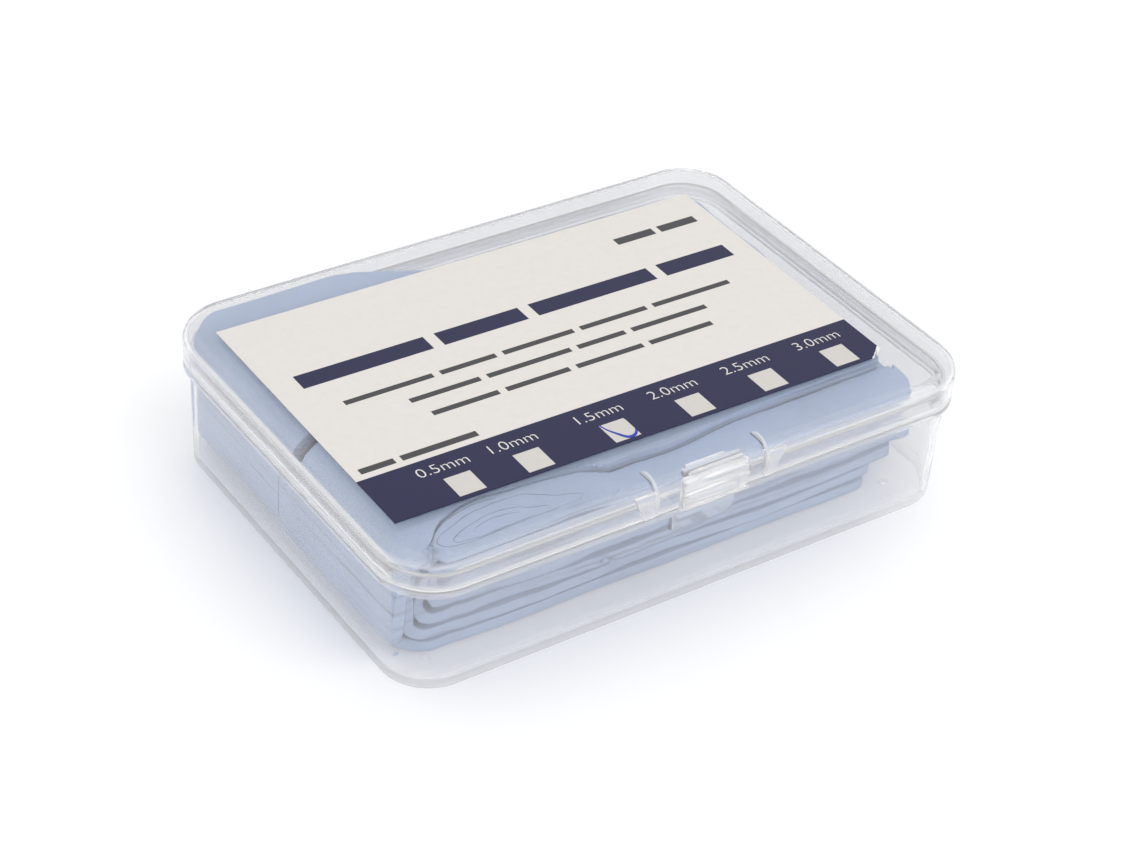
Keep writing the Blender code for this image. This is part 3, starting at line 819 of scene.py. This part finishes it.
class PADBOX_OT_label(bpy.types.Operator):
    """Build the paper label with its band, boxes, plain bars and pen mark"""

    bl_idname = "padbox.label"
    bl_label = "Label"

    def execute(self, context):
        top = context.scene.pad_box.height / MM
        spots = label_spots()
        xs, ys = [-LABEL_HALF[0], LABEL_HALF[0]], [-LABEL_HALF[1], LABEL_HALF[1]]
        for low_x, high_x, low_y, high_y, _ in spots:
            xs += [low_x, high_x]
            ys += [low_y, high_y]
        xs += list(np.arange(38.4, LABEL_HALF[0], 0.13)) + list(np.linspace(-40, 38, 24))
        ys += list(np.arange(-LABEL_HALF[1], -22.9, 0.13)) + list(np.linspace(-22, 25, 14))
        xs, ys = np.unique(np.round(xs, 3)), np.unique(np.round(ys, 3))
        gx, gy = np.meshgrid(xs, ys)
        rows, columns = gx.shape
        quads = grid_faces(rows, columns, False)
        mid_x = gx.reshape(-1)[quads].mean(1)
        mid_y = gy.reshape(-1)[quads].mean(1)
        index = np.zeros(len(quads), int)
        for low_x, high_x, low_y, high_y, number in spots:
            inside = (mid_x > low_x) & (mid_x < high_x) & (mid_y > low_y) & (mid_y < high_y)
            index[inside] = number
        # The front right corner is torn off along a ragged line, with bare paper beside it
        along = (mid_x - LABEL_HALF[0]) - (mid_y + LABEL_HALF[1])
        across = (mid_x - 39.6) * 0.75 - (mid_y + 24.0)
        ragged = 0.22 * np.sin(along * 5.1) + 0.13 * np.sin(along * 11.7 + 1.0)
        gone = across + ragged > 0.55
        bare = (across + ragged > 0.15) & ~gone
        index[bare] = 3
        keep = ~gone
        points = np.stack([gx, gy, np.full_like(gx, top + LABEL_GAP)], -1).reshape(-1, 3)
        keys = ("label_blank", "label_band", "label_grey", "label_torn", "label_box")
        label = make_object("label_sheet", label_place(points), quads[keep])
        for key in keys:
            label.data.materials.append(get_material(key))
        label.data.polygons.foreach_set("material_index", index[keep].astype(np.int32))
        bm = bmesh.new()
        bm.from_mesh(label.data)
        loose = [v for v in bm.verts if not v.link_faces]
        bmesh.ops.delete(bm, geom=loose, context="VERTS")
        bm.to_mesh(label.data)
        bm.free()
        thick = label.modifiers.new("Solidify", "SOLIDIFY")
        thick.thickness = LABEL_THICKNESS * MM
        thick.offset = 1.0
        # The underside is bare paper
        thick.material_offset = -len(keys)
        place(label, "lid", "label_paper", ["label_sticker"])
        self.add_numbers(top)
        self.add_pen_mark(top)
        return {"FINISHED"}

    def add_numbers(self, top):
        """Plain sizes above the boxes, as on any scale."""
        made = []
        for number, left in zip(NUMBERS, CHECK_LEFTS):
            curve = bpy.data.curves.new(f"number_{number}", "FONT")
            curve.body = f"{number}mm"
            curve.size = 2.75 * MM
            curve.extrude = 0.01 * MM
            curve.offset = -0.035 * MM
            curve.align_x = "LEFT"
            text = bpy.data.objects.new(curve.name, curve)
            bpy.context.scene.collection.objects.link(text)
            bpy.context.view_layer.update()
            ready = text.evaluated_get(bpy.context.evaluated_depsgraph_get())
            mesh = bpy.data.meshes.new_from_object(ready)
            bpy.data.objects.remove(text, do_unlink=True)
            count = len(mesh.vertices)
            flat = np.empty(count * 3)
            mesh.vertices.foreach_get("co", flat)
            flat = flat.reshape(-1, 3) / MM
            wide = flat[:, 0].max()
            flat[:, 0] = flat[:, 0] * (8.0 / wide) + left + 5.3 - 8.0
            flat[:, 1] -= 18.5
            flat[:, 2] += top + LABEL_GAP + LABEL_THICKNESS + 0.015
            mesh.vertices.foreach_set("co", label_place(flat).reshape(-1))
            mesh.update()
            made.append(mesh)
        bm = bmesh.new()
        for mesh in made:
            bm.from_mesh(mesh)
            bpy.data.meshes.remove(mesh)
        whole = bpy.data.meshes.new("label_numbers")
        bm.to_mesh(whole)
        bm.free()
        whole.materials.clear()
        whole.materials.append(get_material("label_blank"))
        obj = bpy.data.objects.new("label_numbers", whole)
        bpy.context.scene.collection.objects.link(obj)
        place(obj, "lid", "label_paper")

    def add_pen_mark(self, top):
        """A tick drawn by pen: a ribbon of changing width along a smooth line."""
        points = np.array([
            (-5.6, -20.1), (-5.2, -21.4), (-4.5, -22.7), (-3.7, -23.9), (-2.9, -24.15),
            (-2.1, -23.8), (-1.5, -22.9), (-1.3, -21.6), (-1.5, -20.4), (-1.9, -19.2),
        ])
        share = np.linspace(0, 1, len(points))
        fine = np.linspace(0, 1, 60)
        x, y = smooth_curve(share, points, fine)
        pace = np.stack([np.gradient(x), np.gradient(y)], 1)
        side = np.stack([-pace[:, 1], pace[:, 0]], 1) / np.linalg.norm(pace, axis=1)[:, None]
        half = 0.27 * (0.75 + 0.3 * np.sin(fine * 9.0 - 2.0))
        half = half * np.minimum(1.0, (1.02 - fine) * 6.0)
        line = np.stack([x, y], 1)
        edges = np.stack([line - side * half[:, None], line + side * half[:, None]], 1)
        height = np.full((len(fine), 2, 1), top + LABEL_GAP + LABEL_THICKNESS + 0.01)
        grid = label_place(np.concatenate([edges, height], -1))
        faces = grid_faces(len(fine), 2, False)[:, ::-1]
        mark = make_object("pen_tick", grid.reshape(-1, 3), faces, get_material("pen_ink"))
        # The ink looks blue on a box's bare paper and nearly black on the dark band
        mark.data.materials.append(get_material("pen_on_band"))
        low, high = CHECK_LEFTS[2], CHECK_LEFTS[2] + CHECK_WIDTH
        on_band = (x < low) | (x > high) | (y < CHECK_LOW) | (y > CHECK_HIGH)
        mark.data.polygons.foreach_set("material_index", on_band[:-1].astype(np.int32))
        thick = mark.modifiers.new("Solidify", "SOLIDIFY")
        thick.thickness = 0.01 * MM
        thick.offset = 1.0
        place(mark, "lid", "label_paper")


def smooth_curve(share, points, fine):
    """A smooth line through points: each stretch is a cubic with slopes from its neighbours."""
    slope = np.gradient(points, share, axis=0)
    index = np.clip(np.searchsorted(share, fine, side="right") - 1, 0, len(share) - 2)
    span = (share[index + 1] - share[index])[:, None]
    t = ((fine - share[index]) / span[:, 0])[:, None]
    a, b = points[index], points[index + 1]
    m, n = slope[index] * span, slope[index + 1] * span
    out = ((2 * t ** 3 - 3 * t ** 2 + 1) * a + (t ** 3 - 2 * t ** 2 + t) * m
           + (3 * t ** 2 - 2 * t ** 3) * b + (t ** 3 - t ** 2) * n)
    return out[:, 0], out[:, 1]


# Pads

def waves(x, y, seed, size):
    """A soft uneven swell: the mean of six sine waves of fixed, scattered directions."""
    source = np.random.default_rng(seed)
    total = np.zeros(np.broadcast(x, y).shape)
    for _ in range(6):
        turn, phase = source.uniform(0, 2 * math.pi, 2)
        pitch = 2 * math.pi / (size * source.uniform(0.6, 1.5))
        total += np.sin(pitch * (x * math.cos(turn) + y * math.sin(turn)) + phase)
    return total / 3.0


def middle_line(row, layer, steps):
    """The middle line of a folded strip in (x, z), with the distance along it at each step."""
    low, high = LOWER_LEGS[layer], UPPER_LEGS[layer]
    fold = FOLD_MIDDLES[layer]
    lower, upper = LOWER_BENDS[row][layer], UPPER_BENDS[row][layer]
    lower_leg = np.linspace(LOWER_ENDS[row][layer], fold + lower, 60)[:-1]
    upper_leg = np.linspace(fold + upper, UPPER_ENDS[row][layer], 60)[1:]
    line = np.concatenate([
        np.stack([lower_leg, np.full_like(lower_leg, low)], 1),
        arc((fold + lower, low + lower), lower, -90, -180, 16),
        arc((fold + upper, high - upper), upper, 180, 90, 16),
        np.stack([upper_leg, np.full_like(upper_leg, high)], 1),
    ])
    travel = np.concatenate([[0.0], np.cumsum(np.linalg.norm(np.diff(line, axis=0), axis=1))])
    # Closer steps where the upper leg leaves the fold
    weight = 1.0 + 3.0 * ((line[:, 0] < -33.0) & (line[:, 1] > 12.0))
    close = np.cumsum(weight * np.gradient(travel))
    even = np.interp(np.linspace(close[0], close[-1], steps), close, travel)
    x, z = (np.interp(even, travel, line[:, column]) for column in (0, 1))
    return np.stack([x, z], 1), even


def corner_limit(x, far):
    """The furthest Y at that X inside the box's round corners, 0.3 mm off the wall."""
    radius = 6.2
    deep = np.clip(np.abs(x) - (45.6 - radius), 0.0, radius * 0.999)
    return far - radius + np.sqrt(radius ** 2 - deep ** 2)


# The front edge of the front row's top sheet, and of its fold by height, in millimetres
FRONT_RIDGE = np.array([
    (-45.5, -29.6), (-43.0, -29.6), (-41.7, -28.7), (-40.1, -27.3), (-38.1, -25.8), (-34.3, -24.3),
    (-30.8, -23.7), (-27.8, -24.2), (-23.1, -24.4), (-19.2, -25.0), (-15.0, -25.3), (-11.6, -26.4),
    (-7.8, -26.1), (-3.2, -26.4), (1.1, -26.2), (5.9, -25.5), (10.1, -25.0), (18.7, -25.0),
    (30.5, -24.8), (38.4, -24.8), (46.0, -24.8),
])
FOLD_EDGES = {
    0: np.array([(1.5, -22.6), (3.0, -24.6), (6.0, -27.0), (9.0, -27.5), (14.0, -27.9),
                 (19.0, -29.0), (21.0, -29.6)]),
    1: np.array([(4.0, -26.0), (8.0, -26.9), (13.0, -26.2), (17.0, -27.0), (18.5, -27.6)]),
    2: np.array([(6.0, -26.5), (9.0, -25.6), (13.0, -26.9), (15.5, -27.2)]),
    3: np.array([(8.3, -26.3), (10.5, -26.9), (12.8, -26.2)]),
}
UPPER_EDGES = {1: -30.9, 2: -27.3, 3: -26.5}
# The back edge of the back row's upper sheets by X: from the box's wall to under the label
BACK_EDGES = {
    0: np.array([(-46.0, 32.1), (-21.0, 32.1), (-17.8, 31.2), (-12.1, 28.7), (-7.0, 26.4),
                 (46.0, 26.0)]),
    1: np.array([(-46.0, 32.1), (-18.0, 32.0), (-11.0, 29.4), (46.0, 29.0)]),
    2: np.array([(-46.0, 32.1), (-14.0, 32.0), (-7.0, 31.2), (46.0, 31.0)]),
    3: np.array([(-46.0, 32.1), (46.0, 32.1)]),
}


def ridge_at(x):
    """The front edge of the front row's top sheet at that X."""
    return np.interp(x, FRONT_RIDGE[:, 0], FRONT_RIDGE[:, 1])


def strip_edges(row, layer, line, travel):
    """The front and back edge of a strip at each step of its middle line."""
    x, z = line[:, 0], line[:, 1]
    low = np.full(len(x), ROW_EDGES[row][0])
    high = np.full(len(x), ROW_EDGES[row][1])
    seed = 10 * layer + (5 if row == "back" else 0)
    low = low + 0.28 * waves(travel, 0.0, seed + 1, 26.0) + 0.07 * waves(travel, 0.0, seed + 2, 5.0)
    high = high - 0.1 + 0.1 * waves(travel, 0.0, seed + 3, 22.0)
    if row == "front":
        fold = np.interp(z, FOLD_EDGES[layer][:, 0], FOLD_EDGES[layer][:, 1])
        start = FOLD_MIDDLES[layer] + 0.6
        spread = step(x, start, start + (2.0 if layer == 1 else 5.0))
        top = ridge_at(x) if layer == 0 else np.full(len(x), UPPER_EDGES[layer])
        leg = np.where(z > 11.0, top, ROW_EDGES[row][0])
        ragged = low - ROW_EDGES[row][0]
        low = fold * (1 - spread) + leg * spread + ragged * (0.4 if layer == 0 else 1.0)
    if row == "back":
        edge = np.interp(x, BACK_EDGES[layer][:, 0], BACK_EDGES[layer][:, 1])
        high = np.minimum(high, np.where(z > 11.0, edge, 32.1))
        high = np.minimum(high, corner_limit(x, 32.1))
    else:
        low = np.maximum(low, -corner_limit(x, 32.1))
    # Beside the left wall the two rows' upper sheets stand apart
    apart = (1.0 - step(x, -40.0, -33.0)) * step(z, 13.0, 19.0)
    if row == "back":
        low = low - 2.7 * apart
    else:
        high = high - 4.9 * apart
    radius = 1.8
    for end in (travel, travel[-1] - travel):
        cut = radius - np.sqrt(np.maximum(radius ** 2 - np.maximum(radius - end, 0.0) ** 2, 0.0))
        low = low + cut
        high = high - cut
    return low, high


def lift_field(row, layer, x, y, z, middle, waviness):
    """How far a strip's points rise: a soft swell, and at the front a bulge of the second layer.

    In front of the top layer's edge the bulge brings the sheet's middle up to a set height,
    which is more at the left, where the sheet lies against the lid.
    """
    seed = 100 + 10 * layer + (5 if row == "back" else 0)
    upper = np.clip((z - 11.0) / 3.0, 0.0, 1.0)
    rise = waviness * waves(x, y, seed, 24.0) * (0.5 + 0.6 * upper)
    rise = np.where((z < 3.2) | (z > 20.0), np.minimum(rise, 0.12) * 0.6, rise)
    if row == "front" and layer == 1:
        reach = step(ridge_at(x) - 0.03 - y, 0.0, 0.4)
        reach = reach * step(x, -44.2, -43.2) * step(middle, 14.6, 15.6)
        height = UPPER_LEGS[1] + 1.4 + 1.3 * step(-9.0 - x, 0.0, 10.0)
        rise = rise * (1 - reach) + reach * (height - middle)
    return rise


def strip_object(name, row, layer, pad, material):
    """One folded strip.

    The section is a rectangle with round edges in Y and in the middle line's normal. It is
    carried along the middle line, its edges follow the strip's own uneven edges, and each
    point is then lifted by the swell.
    """
    fine = row == "front" and layer < 2
    line, travel = middle_line(row, layer, 230 if fine else 150)
    pace = np.gradient(line, travel, axis=0)
    pace /= np.linalg.norm(pace, axis=1)[:, None]
    normal = np.stack([-pace[:, 1], pace[:, 0]], 1)
    low, high = strip_edges(row, layer, line, travel)
    half = pad.thickness / MM / 2
    soft = 0.14 if fine else 0.3
    corner = np.radians(np.linspace(0, 90, 4))
    flat = np.concatenate([
        np.linspace(-1.0, -0.58, 40 if fine else 14)[:-1], np.linspace(-0.58, 1.0, 24),
    ])
    # One closed round of (share across, offset across, offset through)
    top = [(s, 0.0, half) for s in flat]
    inner = half - soft
    bend = [(soft * math.sin(a), soft * math.cos(a)) for a in corner]
    right = [(1.0, -soft + sine, inner + cosine) for sine, cosine in bend[1:]]
    right += [(1.0, -soft + cosine, -inner - sine) for sine, cosine in bend]
    under = [(s, 0.0, -half) for s in flat[::-1]]
    left = [(-1.0, soft - sine, -inner - cosine) for sine, cosine in bend[1:]]
    left += [(-1.0, soft - cosine, inner + sine) for sine, cosine in bend[:-1]]
    loop = np.array(top + right + under + left)
    share, across, through = loop[:, 0], loop[:, 1], loop[:, 2]
    middle, reach = (low + high) / 2, (high - low) / 2 - soft
    y = middle[:, None] + reach[:, None] * share[None] + np.where(
        np.abs(share) == 1.0, across + np.sign(share) * soft, 0.0)[None]
    end = np.minimum(travel, travel[-1] - travel)
    thin = np.sqrt(np.clip(1.0 - np.clip(1.0 - end / soft, 0.0, 1.0) ** 2, 0.0, 1.0))
    thin = (half - soft * (1 - thin)) / half
    offset = through[None] * thin[:, None]
    x = line[:, 0][:, None] + normal[:, 0][:, None] * offset
    z = line[:, 1][:, None] + normal[:, 1][:, None] * offset
    # The cut ends aren't quite straight
    tail = np.clip(1.0 - end / 12.0, 0.0, 1.0)[:, None]
    x = x + tail * (0.35 * waves(y, 0.0, 300 + layer, 12.0) + 0.03 * (y - middle[:, None]))
    z = z + lift_field(row, layer, x, y, z, line[:, 1][:, None], pad.waviness / MM)
    grid = np.stack([x, y, z], -1) * MM
    rows, columns = grid.shape[:2]
    faces = grid_faces(rows, columns, True).tolist()
    faces.append(list(range(columns)))
    faces.append(list(range((rows - 1) * columns, rows * columns)))
    obj = make_object(name, grid.reshape(-1, 3), faces, material)
    return settle(obj, angle=50.0)


# Creases round the patch where the front row's second sheet lies against the lid, in (x, y); their
# dark blue is painted shade
CONTACT_RINGS = (
    ((-42.1, -29.3), (-40.9, -28.1), (-39.2, -27.0), (-36.8, -25.9), (-34.0, -25.2),
     (-31.3, -24.9), (-29.2, -25.3)),
    ((-22.8, -31.0), (-30.0, -31.1), (-37.0, -31.4), (-39.0, -31.2), (-40.6, -30.4),
     (-40.9, -29.6), (-40.0, -28.6), (-37.9, -27.7), (-35.0, -26.6), (-31.6, -26.1),
     (-28.4, -26.0), (-25.4, -26.3), (-22.3, -28.5), (-18.7, -30.3), (-19.6, -30.9)),
    ((-26.6, -30.8), (-32.0, -31.0), (-37.0, -31.0), (-38.6, -30.6), (-38.7, -30.0),
     (-37.9, -29.5), (-35.3, -28.5), (-32.2, -27.8), (-29.1, -27.8), (-26.1, -29.1),
     (-23.9, -30.2), (-24.3, -30.7)),
    ((-35.3, -30.2), (-35.2, -29.6), (-34.2, -29.1), (-31.5, -28.7), (-29.9, -28.8),
     (-28.0, -29.3)),
)

# Crumbs of pad: middle and half sizes in millimetres
CRUMBS = (
    ((-14.6, -25.1, 21.45), (0.55, 0.25, 0.16)), ((-13.6, -25.5, 21.4), (0.4, 0.3, 0.18)),
    ((-12.9, -26.0, 21.3), (0.5, 0.22, 0.2)), ((-15.6, -24.9, 21.45), (0.35, 0.2, 0.14)),
    ((-11.9, -27.1, 6.5), (0.6, 0.35, 0.4)), ((-11.0, -27.2, 6.1), (0.5, 0.4, 0.3)),
    ((-10.3, -27.1, 5.7), (0.4, 0.3, 0.35)), ((-44.0, -25.3, 1.75), (0.4, 0.3, 0.25)),
)


def ring_object(name, rings, pad, material):
    """Fine creases on the second sheet's top: ribbons along smooth lines through the points, dark
    blue as painted shade in the creases.

    Their height is the sheet's own, worked out by the same swell, plus a hair.
    """
    verts, faces = [], []
    for points in rings:
        points = np.array(points)
        share = np.concatenate([[0.0], np.cumsum(np.linalg.norm(np.diff(points, axis=0), axis=1))])
        fine = np.linspace(0.0, share[-1], 90)
        x, y = smooth_curve(share, points, fine)
        line = np.stack([x, y], 1) + 0.08 * waves(fine, 0.0, len(verts) + 7, 3.0)[:, None]
        pace = np.gradient(line, axis=0)
        side = np.stack([-pace[:, 1], pace[:, 0]], 1) / np.linalg.norm(pace, axis=1)[:, None]
        half = 0.06 * (0.8 + 0.35 * waves(fine, 0.0, len(verts) + 11, 5.0))
        end = np.minimum(fine, share[-1] - fine)
        half = np.clip(half, 0.035, 0.12) * np.minimum(1.0, end / 2.0 + 0.2)
        edges = np.stack([line + side * half[:, None], line - side * half[:, None]], 1)
        base = np.full(edges.shape[:2], UPPER_LEGS[1] + pad.thickness / MM / 2)
        lift = lift_field(
            "front", 1, edges[..., 0], edges[..., 1], base, UPPER_LEGS[1], pad.waviness / MM,
        )
        grid = np.concatenate([edges, (base + lift + 0.012)[..., None]], -1)
        faces.append(grid_faces(len(fine), 2, False) + sum(len(v) for v in verts))
        verts.append(grid.reshape(-1, 3))
    obj = make_object(name, np.concatenate(verts) * MM, np.concatenate(faces), material)
    thick = obj.modifiers.new("Solidify", "SOLIDIFY")
    thick.thickness = 0.02 * MM
    thick.offset = 0.0
    return obj


def crumb_object(name, crumbs, material):
    """Small lumps: balls squashed to their half sizes, whose radius swells unevenly."""
    turn = np.linspace(0.0, math.pi, 13)
    around = np.linspace(0.0, 2 * math.pi, 20, endpoint=False)
    verts, faces = [], []
    for number, (middle, half) in enumerate(crumbs):
        a, b = np.meshgrid(turn, around, indexing="ij")
        ball = np.stack([np.sin(a) * np.cos(b), np.sin(a) * np.sin(b), np.cos(a)], -1)
        across = ball[..., 1] * 3.0 + ball[..., 2] * 2.0
        swell = 1.0 + 0.14 * waves(ball[..., 0] * 3.0, across, 400 + number, 3.0)
        faces.append(grid_faces(len(turn), len(around), True) + sum(len(v) for v in verts))
        verts.append((np.array(middle) + ball * swell[..., None] * np.array(half)).reshape(-1, 3))
    obj = make_object(name, np.concatenate(verts) * MM, np.concatenate(faces), material)
    return settle(obj, angle=60.0)


class PADBOX_OT_pads(bpy.types.Operator):
    """Build the two rows of folded pad strips, with their creases and crumbs"""

    bl_idname = "padbox.pads"
    bl_label = "Pad strips"

    def execute(self, context):
        pad = context.scene.pad_sizes
        for row in ("front", "back"):
            for layer in range(LAYERS):
                strip = strip_object(
                    f"{row}_pad_{layer + 1}", row, layer, pad, get_material("blue_silicone"),
                )
                place(strip, "base", "pad_silicone", [f"pad_strip_{row}_{layer + 1}"])
        creases = ring_object("pad_contact_rings", CONTACT_RINGS, pad, get_material("pad_crease_shade"))
        place(creases, "base", "pad_silicone")
        crumbs = crumb_object("pad_crumbs", CRUMBS, get_material("blue_silicone"))
        place(crumbs, "base", "pad_silicone")
        return {"FINISHED"}


# Stage

# The camera's place in millimetres, the way it looks and its upright
CAMERA_PLACE = (-185.65, -252.73, 233.36)
CAMERA_AHEAD = (0.48159, 0.65288, -0.58466)
CAMERA_UP = (0.28617, 0.51340, 0.80903)
CAMERA_LENS, SENSOR_WIDTH = 83.02, 36.0
FLOOR_HALF, FLOOR_LINES, FLOOR_DROP = 1.5, 9, 0.00004


class PADBOX_OT_stage(bpy.types.Operator):
    """Add the floor, the lights and the camera"""

    bl_idname = "padbox.stage"
    bl_label = "Stage"

    def execute(self, context):
        scene = context.scene
        look = scene.pad_finishes
        spots = np.linspace(-FLOOR_HALF, FLOOR_HALF, FLOOR_LINES)
        gx, gy = np.meshgrid(spots, spots)
        points = np.stack([gx, gy, np.full_like(gx, -FLOOR_DROP)], -1).reshape(-1, 3)
        material, tree, shader = new_material("studio_floor")
        grain = noise_node(tree, 30.0)
        ramp = colour_ramp(tree, grain.outputs["Fac"], [
            (0.3, scaled(look.floor, 0.99)), (0.7, look.floor),
        ])
        tree.links.new(ramp.outputs["Color"], shader.inputs["Base Color"])
        shader.inputs["Roughness"].default_value = 0.6
        faces = grid_faces(FLOOR_LINES, FLOOR_LINES, False)
        floor = make_object("studio_floor", points, faces, material)
        self.add_sky(scene, look.sky)
        self.add_light("key_light", (0.35, -0.75, 0.8), 0.8, 2.2)
        self.add_light("fill_light", (-0.6, -0.4, 0.8), 0.7, 1.0)
        self.add_camera(scene)
        scene.view_settings.view_transform = "Standard"
        scene.cycles.use_denoising = True
        scene.cycles.max_bounces = 24
        scene.cycles.transmission_bounces = 20
        scene.cycles.transparent_max_bounces = 16
        scene.cycles.diffuse_bounces = 5
        scene.cycles.caustics_refractive = False
        scene.cycles.caustics_reflective = False
        return {"FINISHED"}

    def add_sky(self, scene, strength):
        """Even light from all round, a little brighter from above."""
        world = bpy.data.worlds.new("studio_sky")
        scene.world = world
        world.use_nodes = True
        tree = world.node_tree
        back = tree.nodes["Background"]
        back.inputs["Strength"].default_value = strength
        coordinates = tree.nodes.new("ShaderNodeTexCoord")
        split = tree.nodes.new("ShaderNodeSeparateXYZ")
        tree.links.new(coordinates.outputs["Generated"], split.inputs["Vector"])
        ramp = colour_ramp(tree, split.outputs["Z"], [
            (0.0, (0.91, 0.91, 0.92)), (0.35, (0.99, 0.99, 0.99)), (0.8, (1.14, 1.14, 1.14)),
        ])
        tree.links.new(ramp.outputs["Color"], back.inputs["Color"])

    def add_light(self, name, spot, size, power):
        """A large soft light that faces the box."""
        data = bpy.data.lights.new(name, "AREA")
        data.energy = power
        data.size = size
        light = bpy.data.objects.new(name, data)
        light.location = spot
        light.rotation_euler = (-Vector(spot)).to_track_quat("-Z", "Y").to_euler()
        bpy.context.scene.collection.objects.link(light)

    def add_camera(self, scene):
        """The camera where the photograph was taken from."""
        data = bpy.data.cameras.new("photo_camera")
        data.sensor_width = SENSOR_WIDTH
        data.lens = CAMERA_LENS
        data.clip_start = 0.01
        camera = bpy.data.objects.new("photo_camera", data)
        ahead, up = Vector(CAMERA_AHEAD).normalized(), Vector(CAMERA_UP).normalized()
        side = ahead.cross(up).normalized()
        up = side.cross(ahead)
        matrix = Matrix((side, up, -ahead)).transposed().to_4x4()
        matrix.translation = Vector(CAMERA_PLACE) * MM
        camera.matrix_world = matrix
        scene.collection.objects.link(camera)
        scene.camera = camera


class PADBOX_PT_parts(bpy.types.Panel):
    """The builders of the box's pieces"""

    bl_label = "Pad box"
    bl_space_type = "VIEW_3D"
    bl_region_type = "UI"
    bl_category = "Pad box"

    def draw(self, context):
        for operator in OPERATORS:
            self.layout.operator(operator.bl_idname)


OPERATORS = (
    PADBOX_OT_stage, PADBOX_OT_base, PADBOX_OT_lid, PADBOX_OT_latch, PADBOX_OT_label,
    PADBOX_OT_pads,
)
CLASSES = (BoxSizes, PadSizes, Finishes, *OPERATORS, PADBOX_PT_parts)


def register():
    for item in CLASSES:
        bpy.utils.register_class(item)
    bpy.types.Scene.pad_box = PointerProperty(type=BoxSizes)
    bpy.types.Scene.pad_sizes = PointerProperty(type=PadSizes)
    bpy.types.Scene.pad_finishes = PointerProperty(type=Finishes)


def unregister():
    del bpy.types.Scene.pad_finishes
    del bpy.types.Scene.pad_sizes
    del bpy.types.Scene.pad_box
    for item in reversed(CLASSES):
        bpy.utils.unregister_class(item)


def main():
    register()
    bpy.ops.padbox.stage()
    bpy.ops.padbox.base()
    bpy.ops.padbox.lid()
    bpy.ops.padbox.latch()
    bpy.ops.padbox.label()
    bpy.ops.padbox.pads()


if __name__ == "__main__":
    main()
